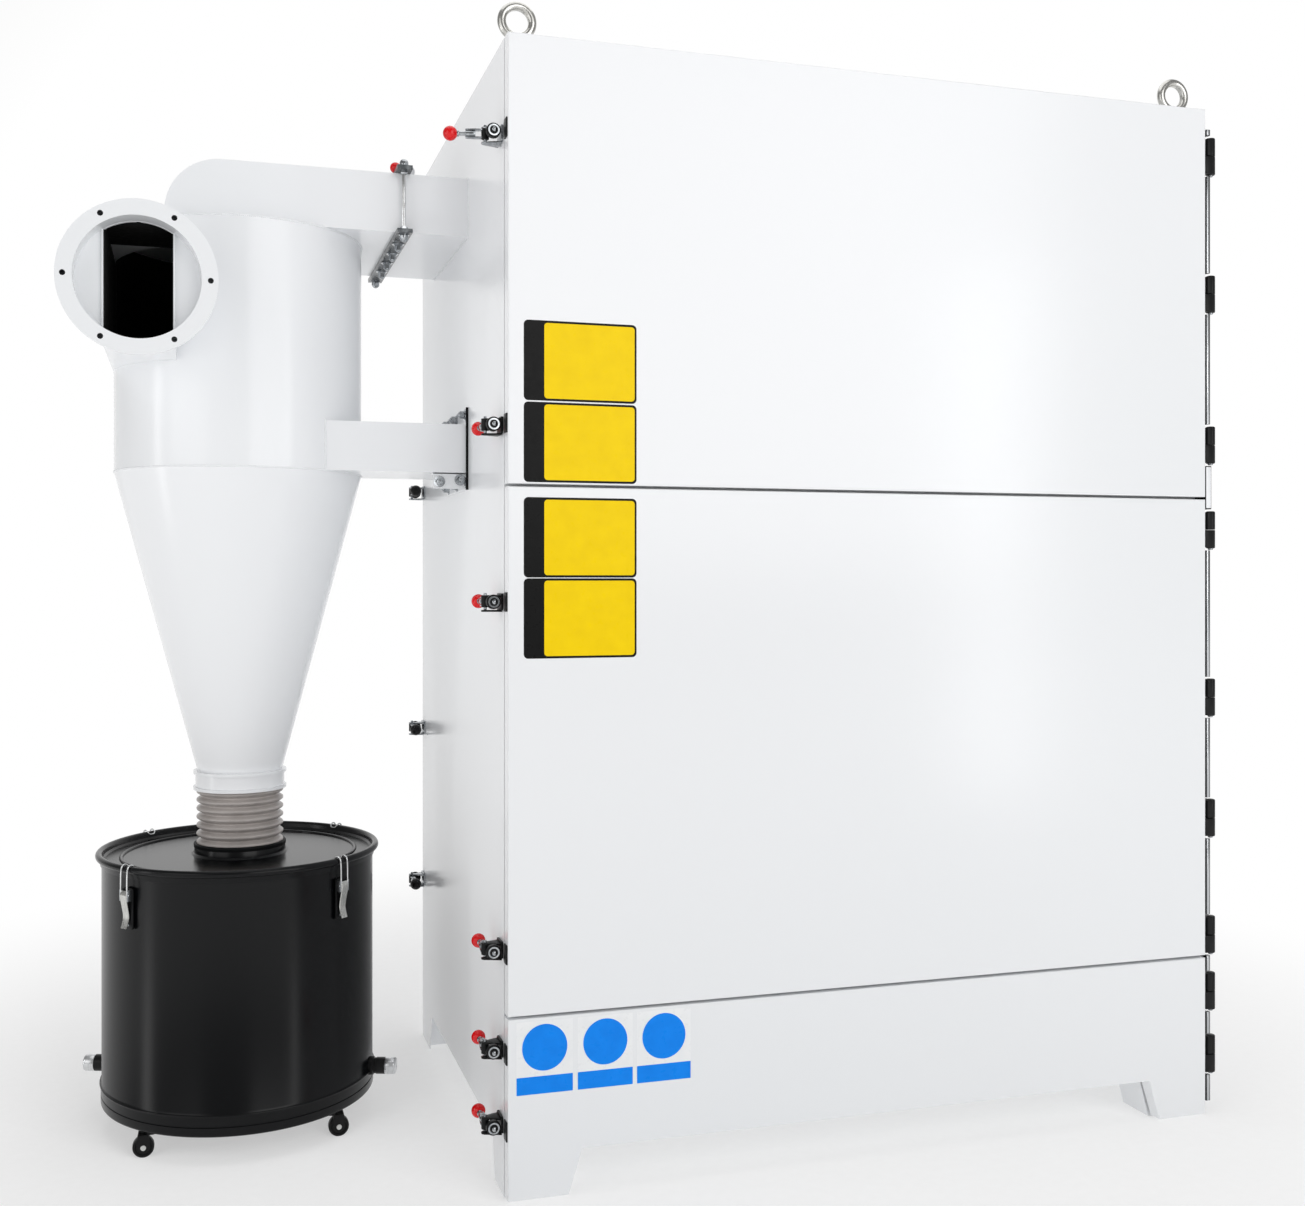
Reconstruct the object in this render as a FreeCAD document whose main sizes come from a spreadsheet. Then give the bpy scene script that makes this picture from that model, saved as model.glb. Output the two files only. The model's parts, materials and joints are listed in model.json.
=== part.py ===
"""Cyclone separator with its dust drum, standing beside a dust collector cabinet.

The cabinet has three hinged front doors.  The cyclone hangs on its left side by a support arm and
by the clean-air duct.  Frame: millimetres, +X to the right along the doors, +Y towards the back,
+Z up, origin on the floor in the middle of the overall box.
"""
import FreeCAD, Part
import Sketcher
import math
import os
import re

DIMENSIONS = {
    # where the cabinet stands in the frame
    "cabinet_x": -362.0, "cabinet_y": -479.5,
    # cabinet of folded steel sheet
    "cabinet_width": 1450.0, "cabinet_depth": 960.0, "cabinet_height": 2050.0,
    "sheet": 2.0, "frame_bar": 40.0, "frame_web": 3.0, "base_rise": 92.0,
    # doors
    "door_depth": 28.0, "door_gap": 5.0, "door_sheet": 2.0, "door_round": 2.5,
    "upper_seam": 1258.0, "lower_seam": 325.0,
    "foot_rise": 84.0, "foot_sole": 110.0, "foot_top": 135.0, "foot_depth": 80.0, "foot_web": 3.0,
    "door_lift": 5.0,
    # hinges down the right edge
    "strip_width": 12.0, "strip_depth": 6.0, "strip_foot": 20.0, "strip_head": 40.0,
    "hinge_out": 18.0, "hinge_back": 8.0, "knuckle_radius": 9.0, "hinge_rise": 76.0,
    "hinge_split": 0.5, "hinge_pin_radius": 4.0, "pin_play": 0.05,
    # lever clamps down the left edge
    "clamp_base_depth": 40.0, "clamp_base_rise": 30.0, "clamp_out": 20.0, "clamp_hub_out": 29.0,
    "clamp_hub_radius": 7.0, "clamp_rod_radius": 4.0, "clamp_rod_run": 62.0, "clamp_knob_radius": 13.0,
    "clamp_pin_radius": 3.0, "clamp_ear": 4.0, "clamp_set_back": 5.0, "clamp_slack": 0.5,
    # lifting eyes
    "eye_inset": 30.0, "eye_major": 28.0, "eye_minor": 8.0, "eye_bore": 21.0, "eye_collar": 19.0,
    "eye_collar_rise": 9.0, "eye_centre": 43.0, "eye_back_inset": 230.0,
    # cyclone: distances of its axis from the cabinet's front left corner
    "cyclone_out": 436.0, "cyclone_back": 566.0,
    "barrel_radius": 244.0, "barrel_top": 1778.0, "barrel_foot": 1306.0, "plate": 3.0,
    "finder_radius": 105.0, "finder_drop": 300.0,
    "throat_radius": 84.0, "throat_height": 706.0, "collar_radius": 88.0, "collar_foot": 668.0,
    "collar_lip": 4.0, "collar_bead": 6.0,
    "hose_radius": 86.0, "hose_core": 76.0, "hose_foot": 556.0, "hose_bore": 72.0,
    # inlet
    "inlet_width": 116.0, "inlet_floor": 1508.0, "inlet_top": 1722.0, "inlet_front": 186.0,
    "spigot_radius": 109.0, "spigot_run": 44.0, "inlet_height": 1612.0,
    "flange_radius": 134.0, "flange_bore": 106.0, "flange_plate": 6.0, "flange_pitch": 121.0,
    "flange_hole": 5.0,
    # outlet duct
    "duct_front": 374.0, "duct_back": 792.0, "duct_top": 1894.0, "duct_joint": 131.0,
    "duct_round": 105.0, "hood_left": 144.0,
    "joint_bar_width": 30.0, "joint_bar_rise": 8.0, "joint_bar_reach": 34.0,
    "tie_radius": 5.0, "tie_out": 18.0,
    # support arm
    "arm_front": 377.0, "arm_back": 585.0, "arm_foot": 1306.0, "arm_top": 1403.0,
    "arm_flange_margin": 34.0, "arm_start": 100.0,
    # dust drum
    "drum_radius": 271.0, "drum_foot": 56.0, "drum_top": 534.0, "drum_sheet": 2.0,
    "lid_radius": 279.0, "lid_top": 553.0, "lid_rim": 16.0, "lid_neck": 12.0, "drum_roll": 5.0,
    "handle_radius": 13.0, "handle_reach": 52.0, "handle_rise": 46.0,
    "latch_width": 26.0, "latch_plate": 8.0, "latch_rise": 72.0, "latch_drop": 90.0,
    "latch_lever_width": 18.0, "latch_lever_rise": 64.0, "latch_out": 13.0,
    # casters
    "caster_pitch": 238.0, "wheel_radius": 20.0, "wheel_width": 16.0, "wheel_trail": 14.0,
    "axle_radius": 3.0, "fork_sheet": 2.5, "fork_width": 18.0, "fork_drop": 7.0, "fork_top": 12.0,
    "fork_bridge": 3.0, "crown_radius": 13.0, "crown_rise": 7.5, "wheel_play": 1.0,
    "pad_radius": 19.0, "pad_rise": 4.0, "king_pin_radius": 4.0, "king_pin_run": 7.0,
}
UPPER_HINGES = [1956.0, 1675.0, 1367.0]
MIDDLE_HINGES = [1194.0, 852.0, 606.0, 368.0]
LOWER_HINGES = [253.0, 125.0]
FRONT_CLAMPS = [1885.0, 1367.0, 1053.0, 435.0, 259.0, 125.0]
OPEN_CLAMP_ANGLE = 78.0
BACK_CLAMPS = [1880.0, 1300.0, 741.0, 380.0]
FLANGE_HOLES = 6
LATCH_ANGLES = (-50, 42, 130, 222)
HANDLE_ANGLES = (-18, 162)
CASTERS = ((225, -1), (315, 1), (45, 1), (135, -1))
ORIGIN = FreeCAD.Vector(0, 0, 0)
AXIS_TURNS = {
    "X": FreeCAD.Rotation(FreeCAD.Vector(0, 1, 0), 90),
    "Y": FreeCAD.Rotation(FreeCAD.Vector(1, 0, 0), -90),
    "Z": FreeCAD.Rotation(),
}

doc = FreeCAD.newDocument("cyclone_separator")
sheet = doc.addObject("Spreadsheet::Sheet", "Dims")
for row, (alias, size) in enumerate(DIMENSIONS.items(), start=1):
    sheet.set(f"A{row}", alias)
    sheet.set(f"B{row}", str(size))
    sheet.setAlias(f"B{row}", alias)
doc.recompute()
nodes = []


# ---- small helpers ------------------------------------------------------------------------------
def bound(text):
    """Turn 'sheet + 2' into 'Dims.sheet + 2'."""
    return re.sub(r"[a-z_]+", lambda word: f"Dims.{word[0]}" if word[0] in DIMENSIONS else word[0],
                  str(text))


def bind(thing, **expressions):
    for name, text in expressions.items():
        thing.setExpression(name, bound(text))


def put(thing, x, y, z, turn=None):
    """Place a thing at bound coordinates, turned as a FreeCAD.Rotation says."""
    if turn is not None:
        thing.Placement = FreeCAD.Placement(ORIGIN, turn)
    for letter, text in zip("xyz", (x, y, z)):
        thing.setExpression(f"Placement.Base.{letter}", bound(text))
    return thing


def box(x, y, z, length, width, height):
    thing = doc.addObject("Part::Box", "Block")
    bind(thing, Length=length, Width=width, Height=height)
    return put(thing, x, y, z)


def rod(x, y, z, radius, height, axis="Z"):
    thing = doc.addObject("Part::Cylinder", "Rod")
    bind(thing, Radius=radius, Height=height)
    return put(thing, x, y, z, AXIS_TURNS[axis])


def ball(x, y, z, radius):
    thing = doc.addObject("Part::Sphere", "Ball")
    bind(thing, Radius=radius)
    return put(thing, x, y, z)


def fuse(parts):
    if len(parts) == 1:
        return parts[0]
    thing = doc.addObject("Part::MultiFuse", "Joined")
    thing.Shapes = parts
    return thing


def cut(base, tools):
    thing = doc.addObject("Part::Cut", "Trimmed")
    thing.Base = base
    thing.Tool = fuse(tools)
    return thing


def node(thing, label):
    """Name a finished sub-part; its label is its file's name."""
    thing.Label = label
    nodes.append(thing)
    return thing


def origin_plane(body, role):
    return next(f for f in body.Origin.OriginFeatures if f.Role == role)


def polygon(body, role, corners):
    """Closed outline whose corners are bound to the sheet, on one of the body's own planes."""
    sketch = body.newObject("Sketcher::SketchObject", "Outline")
    sketch.AttachmentSupport = [(origin_plane(body, role), "")]
    sketch.MapMode = "FlatFace"
    add_polygon(sketch, corners)
    return sketch


def add_polygon(sketch, corners):
    first = sketch.GeometryCount
    count = len(corners)
    spread = [math.tau * i / count for i in range(count)]
    start = [FreeCAD.Vector(500 * math.cos(turn), 500 * math.sin(turn), 0) for turn in spread]
    for i in range(count):
        sketch.addGeometry(Part.LineSegment(start[i], start[(i + 1) % count]), False)
    for i in range(count):
        after = first + (i + 1) % count
        sketch.addConstraint(Sketcher.Constraint("Coincident", first + i, 2, after, 1))
    for i, (across, along) in enumerate(corners):
        for kind, text, size in (("DistanceX", across, start[i].x), ("DistanceY", along, start[i].y)):
            index = sketch.addConstraint(Sketcher.Constraint(kind, -1, 1, first + i, 1, size))
            sketch.setExpression(f"Constraints[{index}]", bound(text))


def new_body(label, x, y, z):
    body = doc.addObject("PartDesign::Body", label)
    return put(body, x, y, z)


def revolved(label, x, y, corners):
    """Body turned about its own vertical axis from a half section (radius, height)."""
    body = new_body(label, x, y, "0")
    sketch = polygon(body, "XZ_Plane", corners)
    turn = body.newObject("PartDesign::Revolution", "Turned")
    turn.Profile = sketch
    turn.ReferenceAxis = (sketch, ["V_Axis"])
    turn.Angle = 360
    return body


def padded(label, x, y, z, role, corners, length, reverse=False):
    """Body pushed out from an outline."""
    body = new_body(label, x, y, z)
    pad = body.newObject("PartDesign::Pad", "Sheet")
    pad.Profile = polygon(body, role, corners)
    pad.Reversed = reverse
    bind(pad, Length=length)
    return body


def pocket(body, role, corners, depth=None, offset="0", reverse=False):
    """Cut an outline out of a body; with no depth it goes right through both ways."""
    sketch = polygon(body, role, corners)
    sketch.setExpression("AttachmentOffset.Base.z", bound(offset))
    doc.recompute()
    before = body.Shape.Volume
    feature = body.newObject("PartDesign::Pocket", "Opening")
    feature.Profile = sketch
    feature.Reversed = reverse
    if depth is None:
        feature.Type = 1
        feature.Midplane = True
    else:
        bind(feature, Length=depth)
    doc.recompute()
    if body.Shape.Volume > before - 1:
        raise RuntimeError(f"{body.Label}: an opening cut nothing")
    return feature


def rounded(body, radius, wanted):
    """Round the edges of a body that a test picks out."""
    base = body.Tip
    picked = [f"Edge{rank}" for rank, edge in enumerate(body.Shape.Edges, start=1) if wanted(edge)]
    feature = body.newObject("PartDesign::Fillet", "Rounded")
    feature.Base = (base, picked)
    bind(feature, Radius=radius)
    return body


# ---- cabinet shell ------------------------------------------------------------------------------
LEFT = "cabinet_x"
RIGHT = "cabinet_x + cabinet_width"
FRONT = "cabinet_y"
SHELL_FRONT = "cabinet_y + door_depth + door_gap"
BACK = "cabinet_y + cabinet_depth"


def side_outline():
    """Side sheet seen along X: a foot at each end and a raised edge between them."""
    near, far = "door_depth + door_gap", "cabinet_depth"
    return [(near, "0"), (f"{near} + foot_depth", "0"), (f"{near} + foot_depth + foot_top - foot_sole",
             "foot_rise"), (f"{far} - foot_top", "foot_rise"), (f"{far} - foot_sole", "0"), (far, "0"),
            (far, "cabinet_height - sheet"), (near, "cabinet_height - sheet")]


left_panel = padded("left_side_panel", LEFT, FRONT, "0", "YZ_Plane", side_outline(), "sheet")
pocket(left_panel, "YZ_Plane",
       [("duct_front + sheet", "barrel_top + sheet"), ("duct_back - sheet", "barrel_top + sheet"),
        ("duct_back - sheet", "duct_top - sheet"), ("duct_front + sheet", "duct_top - sheet")])
node(left_panel, "left_side_panel")
node(padded("right_side_panel", f"{RIGHT} - sheet", FRONT, "0", "YZ_Plane", side_outline(), "sheet"),
     "right_side_panel")
node(box(LEFT, SHELL_FRONT, "cabinet_height - sheet", "cabinet_width",
         "cabinet_depth - door_depth - door_gap", "sheet"), "roof_panel")
node(box(f"{LEFT} + sheet", SHELL_FRONT, "base_rise - sheet", "cabinet_width - 2 * sheet",
         "cabinet_depth - door_depth - door_gap - sheet", "sheet"), "base_panel")
node(box(f"{LEFT} + sheet", f"{BACK} - sheet", "foot_rise", "cabinet_width - 2 * sheet", "sheet",
         "cabinet_height - sheet - foot_rise"), "back_panel")


FRAME_LEVELS = ("base_rise + frame_bar / 2", "lower_seam", "upper_seam",
                "cabinet_height - sheet - frame_bar / 2")
FRAME_WIDTH = "cabinet_width - 2 * sheet"


def frame_opening(low, high):
    return box(f"{LEFT} + sheet + frame_bar", f"{SHELL_FRONT} - 1", f"{low} + frame_bar / 2",
               f"{FRAME_WIDTH} - 2 * frame_bar", "frame_bar + 2", f"{high} - ({low}) - frame_bar")


def bar_hollow(x, z, length, height):
    """Hollow of a folded frame bar, open to the back."""
    return box(f"{x} + frame_web", f"{SHELL_FRONT} + frame_web", f"{z} + frame_web",
               f"{length} - 2 * frame_web", "frame_bar", f"{height} - 2 * frame_web")


door_frame = cut(
    box(f"{LEFT} + sheet", SHELL_FRONT, "base_rise", FRAME_WIDTH, "frame_bar",
        "cabinet_height - sheet - base_rise"),
    [frame_opening(low, high) for low, high in zip(FRAME_LEVELS, FRAME_LEVELS[1:])]
    + [bar_hollow(f"{LEFT} + sheet", f"{level} - frame_bar / 2", FRAME_WIDTH, "frame_bar")
       for level in FRAME_LEVELS]
    + [bar_hollow(x, "base_rise", "frame_bar", "cabinet_height - sheet - base_rise")
       for x in (f"{LEFT} + sheet", f"{RIGHT} - sheet - frame_bar")])
node(door_frame, "door_frame")


def foot_outline(inset, sign, top):
    """Trapezium of one foot, drawn to the right (sign 1) or to the left (sign -1) of its corner."""
    return [(f"{sign} * ({inset})", inset), (f"{sign} * (foot_sole - {inset})", inset),
            (f"{sign} * (foot_top - {inset})", top), (f"{sign} * ({inset})", top)]


def corner_foot(x, y, sign):
    """Hollow foot: a sole, upright webs in front and behind, and two side webs."""
    body = padded("Foot", x, y, "0", "XZ_Plane", foot_outline("0", sign, "base_rise - sheet"),
                  "foot_depth", reverse=True)
    pocket(body, "XZ_Plane", foot_outline("foot_web", sign, "base_rise"),
           depth="foot_depth - 2 * foot_web", offset="-foot_web")
    return body


node(fuse([corner_foot(x, y, sign)
           for x, sign in ((f"{LEFT} + sheet", 1), (f"{RIGHT} - sheet", -1))
           for y in (SHELL_FRONT, f"{BACK} - sheet - foot_depth")]), "corner_feet")


# ---- doors --------------------------------------------------------------------------------------
def door(label, corners, inner):
    """Folded tray: a front sheet with four returns, open at the back, its front edges rounded."""
    body = padded(label, LEFT, FRONT, "0", "XZ_Plane", corners, "door_depth", reverse=True)
    pocket(body, "XZ_Plane", inner, depth="door_depth", offset="-door_sheet")
    doc.recompute()
    front = body.Shape.BoundBox.YMin
    rounded(body, "door_round", lambda edge: edge.BoundBox.YMax < front + 0.01 and edge.Length > 60)
    return node(body, label)


def plain_door(label, low, high):
    def outline(inset):
        return [(inset, f"{low} + {inset}"), (f"cabinet_width - {inset}", f"{low} + {inset}"),
                (f"cabinet_width - {inset}", f"{high} - {inset}"), (inset, f"{high} - {inset}")]
    return door(label, outline("0"), outline("door_sheet"))


def lower_door_outline(inset):
    """Outline with a foot at each end, so that the closed door covers the corner feet."""
    low, high = f"door_lift + {inset}", f"lower_seam - door_gap / 2 - {inset}"
    sole, top, rise = f"foot_sole - {inset}", f"foot_top - {inset}", f"foot_rise + {inset}"
    return [(inset, low), (sole, low), (top, rise), (f"cabinet_width - ({top})", rise),
            (f"cabinet_width - ({sole})", low), (f"cabinet_width - {inset}", low),
            (f"cabinet_width - {inset}", high), (inset, high)]


plain_door("upper_door", "upper_seam + door_gap / 2", "cabinet_height")
plain_door("middle_door", "lower_seam + door_gap / 2", "upper_seam - door_gap / 2")
door("lower_door", lower_door_outline("0"), lower_door_outline("door_sheet"))


# ---- hinges -------------------------------------------------------------------------------------
HINGE_X = f"{RIGHT} + hinge_out"
HINGE_Y = f"{FRONT} + hinge_back"
node(box(RIGHT, SHELL_FRONT, "strip_foot", "strip_width", "strip_depth",
         "cabinet_height - strip_foot - strip_head"), "hinge_strip")
HALF_HINGE = "hinge_rise / 2 - hinge_split"


def door_leaf(middle):
    """Lower half of a hinge: a knuckle standing on a leaf that is fixed to the door's edge."""
    low = f"{middle} - hinge_rise / 2"
    leaf = box(RIGHT, f"{HINGE_Y} - knuckle_radius", low, "hinge_out", "2 * knuckle_radius", HALF_HINGE)
    knuckle = rod(HINGE_X, HINGE_Y, low, "knuckle_radius", HALF_HINGE)
    pin = rod(HINGE_X, HINGE_Y, low, "hinge_pin_radius", "hinge_rise - hinge_pin_radius")
    return fuse([leaf, knuckle, pin])


def frame_leaf(middle):
    """Upper half of a hinge, turning on the pin and fixed to the cabinet's strip."""
    low = f"{middle} + hinge_split"
    leaf = box(f"{RIGHT} + strip_width", HINGE_Y, low, "hinge_out + knuckle_radius - strip_width",
               "door_depth + door_gap + strip_depth - hinge_back", HALF_HINGE)
    knuckle = rod(HINGE_X, HINGE_Y, low, "knuckle_radius", HALF_HINGE)
    bore = rod(HINGE_X, HINGE_Y, middle, "hinge_pin_radius + pin_play", "hinge_rise / 2 - 2 * hinge_split")
    return cut(fuse([leaf, knuckle]), [bore])


for door_name, heights in (("upper", UPPER_HINGES), ("middle", MIDDLE_HINGES), ("lower", LOWER_HINGES)):
    node(fuse([door_leaf(middle) for middle in heights]), f"{door_name}_door_hinge_leaves")
node(fuse([frame_leaf(middle) for middle in UPPER_HINGES + MIDDLE_HINGES + LOWER_HINGES]),
     "frame_hinge_leaves")


# ---- lever clamps -------------------------------------------------------------------------------
HUB_X = f"{LEFT} - clamp_hub_out"


def clamp_base(middle, edge_y, sign):
    """Block with two ears, a pin between them and a draw bolt; sign 1 faces the front edge."""
    rise = "clamp_base_rise"
    low = f"{middle} - clamp_base_rise / 2"
    start = edge_y if sign == 1 else f"{edge_y} - clamp_base_depth"
    block = box(f"{LEFT} - clamp_out", start, low, "clamp_out", "clamp_base_depth", rise)
    ears = [box(f"{HUB_X} - clamp_hub_radius", f"{start} + clamp_base_depth / 2 - clamp_hub_radius", z,
                "clamp_hub_out + clamp_hub_radius - clamp_out", "2 * clamp_hub_radius", "clamp_ear")
            for z in (low, f"{low} + clamp_base_rise - clamp_ear")]
    pin = rod(HUB_X, f"{start} + clamp_base_depth / 2", low, "clamp_pin_radius", rise)
    return fuse([block, pin] + ears)


def clamp_lever(middle, edge_y, sign, opening):
    """Hub on the clamp's pin with a rod and a ball knob, lying along the side sheet when closed."""
    start = edge_y if sign == 1 else f"{edge_y} - clamp_base_depth"
    hub_rise = "clamp_base_rise - 2 * clamp_ear - 2 * clamp_slack"
    root = "clamp_hub_radius - 2"
    hub = rod(0, 0, f"-({hub_rise}) / 2", "clamp_hub_radius", hub_rise)
    shaft = rod(0, root, 0, "clamp_rod_radius", f"clamp_rod_run - ({root})", "Y")
    knob = ball(0, "clamp_rod_run", 0, "clamp_knob_radius")
    bore = rod(0, 0, "-clamp_base_rise / 2", "clamp_pin_radius + pin_play", "clamp_base_rise")
    lever = cut(fuse([hub, shaft, knob]), [bore])
    angle = opening if sign == 1 else 180
    return put(lever, HUB_X, f"{start} + clamp_base_depth / 2", middle,
               FreeCAD.Rotation(FreeCAD.Vector(0, 0, 1), angle))


CLAMP_EDGE = f"{SHELL_FRONT} + clamp_set_back"
node(fuse([clamp_base(middle, CLAMP_EDGE, 1) for middle in FRONT_CLAMPS]), "clamp_bases")
for rank, middle in enumerate(FRONT_CLAMPS, start=1):
    opening = OPEN_CLAMP_ANGLE if rank == 1 else 0
    node(clamp_lever(middle, CLAMP_EDGE, 1, opening), f"clamp_lever_{rank}")
node(fuse([clamp_base(middle, BACK, -1) for middle in BACK_CLAMPS]), "back_clamp_bases")
node(fuse([clamp_lever(middle, BACK, -1, 0) for middle in BACK_CLAMPS]), "back_clamp_levers")


# ---- lifting eyes -------------------------------------------------------------------------------
def lifting_eye(x, y):
    collar = rod(x, y, "cabinet_height", "eye_collar", "eye_collar_rise")
    ring = doc.addObject("Part::Torus", "Ring")
    bind(ring, Radius1="eye_major", Radius2="eye_minor")
    put(ring, x, y, "cabinet_height + eye_centre", AXIS_TURNS["Y"])
    bore = rod(x, f"{y} - eye_minor - 1", "cabinet_height + eye_centre", "eye_bore",
               "2 * eye_minor + 2", "Y")
    return cut(fuse([collar, ring]), [bore])


node(fuse([lifting_eye(x, y)
           for y, inset in ((f"{SHELL_FRONT} + eye_inset", "eye_inset"), (f"{BACK} - eye_inset", "eye_back_inset"))
           for x in (f"{LEFT} + {inset}", f"{RIGHT} - {inset}")]), "lifting_eyes")


# ---- cyclone ------------------------------------------------------------------------------------
AXIS_X = f"{LEFT} - cyclone_out"
AXIS_Y = f"{FRONT} + cyclone_back"
INLET_X = f"{AXIS_X} - barrel_radius"


def shell_section(outer_low, outer_high, low, high, wall):
    return [(outer_low, low), (outer_high, high), (f"{outer_high} - ({wall})", high),
            (f"{outer_low} - ({wall})", low)]


inlet_way = box(f"{INLET_X} + plate", f"{FRONT} + inlet_front", "inlet_floor", "inlet_width",
                "cyclone_back - inlet_front", "inlet_top - plate - inlet_floor")
inlet_block = box(INLET_X, f"{FRONT} + inlet_front", "inlet_floor - plate", "inlet_width + 2 * plate",
                  "cyclone_back - inlet_front", "inlet_top - inlet_floor + plate")
barrel_body = revolved("Barrel_shell", AXIS_X, AXIS_Y,
                       shell_section("barrel_radius", "barrel_radius", "barrel_foot", "barrel_top", "plate"))
node(cut(barrel_body, [inlet_way]), "barrel")
node(revolved("cone", AXIS_X, AXIS_Y,
              shell_section("throat_radius", "barrel_radius", "throat_height", "barrel_foot", "plate")),
     "cone")
node(revolved("barrel_top_plate", AXIS_X, AXIS_Y,
              [("finder_radius", "barrel_top - plate"), ("barrel_radius - plate", "barrel_top - plate"),
               ("barrel_radius - plate", "barrel_top"), ("finder_radius", "barrel_top")]),
     "barrel_top_plate")
node(revolved("vortex_finder", AXIS_X, AXIS_Y,
              shell_section("finder_radius", "finder_radius", "barrel_top - finder_drop", "barrel_top",
                            "plate")), "vortex_finder")
LIP = "collar_radius + collar_lip"
node(revolved("discharge_collar", AXIS_X, AXIS_Y,
              [("throat_radius", "collar_foot"), (LIP, "collar_foot"),
               (LIP, "collar_foot + collar_bead"), ("collar_radius", "collar_foot + collar_bead"),
               ("collar_radius", "throat_height - collar_bead"),
               (LIP, "throat_height - collar_bead"), (LIP, "throat_height"),
               ("throat_radius - plate", "throat_height"),
               ("throat_radius - plate", "throat_height - plate"),
               ("throat_radius", "throat_height - plate")]), "discharge_collar")

# The hose hangs from the collar down to the lid: a plain tube here, as wide as its folds.
node(revolved("bellows_hose", AXIS_X, AXIS_Y,
              shell_section("hose_radius", "hose_radius", "hose_foot", "collar_foot",
                            "hose_radius - hose_bore")), "bellows_hose")

# inlet: rectangular duct running to the barrel's side, round spigot in front, bolting flange
SPIGOT_X = f"{INLET_X} + plate + inlet_width / 2"
SPIGOT_Y = f"{FRONT} + inlet_front - spigot_run"
spigot = rod(SPIGOT_X, SPIGOT_Y, "inlet_height", "spigot_radius", "spigot_run", "Y")
spigot_way = rod(SPIGOT_X, f"{SPIGOT_Y} - 1", "inlet_height", "flange_bore",
                 "spigot_run - plate + 1", "Y")
slot = doc.addObject("Part::Common", "Slot")
slot.Base = rod(SPIGOT_X, SPIGOT_Y, "inlet_height", "flange_bore - 0.5", "spigot_run + 2 * plate", "Y")
slot.Tool = box(f"{INLET_X} + plate", SPIGOT_Y, "inlet_floor", "inlet_width", "spigot_run + 2 * plate",
                "inlet_top - plate - inlet_floor")
node(cut(spigot, [spigot_way, slot]), "inlet_spigot")
drum_core = rod(AXIS_X, AXIS_Y, "barrel_foot", "barrel_radius", "barrel_top - barrel_foot")
box_way = box(f"{INLET_X} + plate", f"{FRONT} + inlet_front + plate", "inlet_floor", "inlet_width",
              "cyclone_back - inlet_front", "inlet_top - plate - inlet_floor")
node(cut(inlet_block, [box_way, slot, drum_core]), "inlet_box")


def around(x, z, radius, angle):
    """Point on a circle in the XZ plane, as two bound coordinates."""
    return (f"{x} + {math.cos(math.radians(angle))} * {radius}",
            f"{z} + {math.sin(math.radians(angle))} * {radius}")


FLANGE_Y = f"{SPIGOT_Y} - flange_plate"
flange_disc = rod(SPIGOT_X, FLANGE_Y, "inlet_height", "flange_radius", "flange_plate", "Y")
flange_way = rod(SPIGOT_X, f"{FLANGE_Y} - 1", "inlet_height", "flange_bore", "flange_plate + 2", "Y")
flange_holes = []
for rank in range(FLANGE_HOLES):
    angle = 360 / FLANGE_HOLES * rank
    hole_x, hole_z = around(SPIGOT_X, "inlet_height", "flange_pitch", angle)
    flange_holes.append(rod(hole_x, f"{FLANGE_Y} - 1", hole_z, "flange_hole", "flange_plate + 2", "Y"))
node(cut(flange_disc, [flange_way] + flange_holes), "inlet_flange")


# ---- clean-air duct -----------------------------------------------------------------------------
JOINT_X = f"{LEFT} - duct_joint"


def hood_form(label, inset):
    """Solid of the hood, inset on every closed side, with a quarter round at its upper left edge."""
    low, high = f"barrel_top + {inset}", f"duct_top - {inset}"
    body = padded(label, AXIS_X, f"{FRONT} + duct_front + {inset}", "0", "XZ_Plane",
                  [(f"-hood_left + {inset}", low), ("cyclone_out - duct_joint", low),
                   ("cyclone_out - duct_joint", high), (f"-hood_left + {inset}", high)],
                  f"duct_back - duct_front - 2 * {inset}", reverse=True)
    doc.recompute()
    left, top = body.Shape.BoundBox.XMin, body.Shape.BoundBox.ZMax
    return rounded(body, f"duct_round - {inset}",
                   lambda edge: edge.BoundBox.XMax < left + 1 and edge.BoundBox.ZMin > top - 1)


hood_outside = hood_form("Hood_outside", "0")
hood_inside = hood_form("Hood_inside", "plate")
hood_mouth = rod(AXIS_X, AXIS_Y, "barrel_top - 1", "finder_radius", "plate + 2")
hood_exit = box(f"{JOINT_X} - 10", f"{FRONT} + duct_front + plate", "barrel_top + plate", 20,
                "duct_back - duct_front - 2 * plate", "duct_top - barrel_top - 2 * plate")
node(cut(hood_outside, [hood_inside, hood_mouth, hood_exit]), "outlet_hood")
duct_outside = box(JOINT_X, f"{FRONT} + duct_front", "barrel_top", "duct_joint",
                   "duct_back - duct_front", "duct_top - barrel_top")
duct_way = box(f"{JOINT_X} - 1", f"{FRONT} + duct_front + plate", "barrel_top + plate",
               "duct_joint + 2", "duct_back - duct_front - 2 * plate",
               "duct_top - barrel_top - 2 * plate")
node(cut(duct_outside, [duct_way]), "cabinet_duct")


def joint_bar(z):
    return box(f"{JOINT_X} - joint_bar_width / 2", f"{FRONT} + duct_front - joint_bar_reach", z,
               "joint_bar_width", "duct_back - duct_front + 2 * joint_bar_reach", "joint_bar_rise")


node(fuse([joint_bar("barrel_top - joint_bar_rise"), joint_bar("duct_top")]), "duct_joint_bars")
TIE_LOW, TIE_RISE = "barrel_top", "duct_top - barrel_top"
node(fuse([rod(JOINT_X, y, TIE_LOW, "tie_radius", TIE_RISE)
           for y in (f"{FRONT} + duct_front - tie_out", f"{FRONT} + duct_back + tie_out")]),
     "duct_tie_rods")


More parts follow.
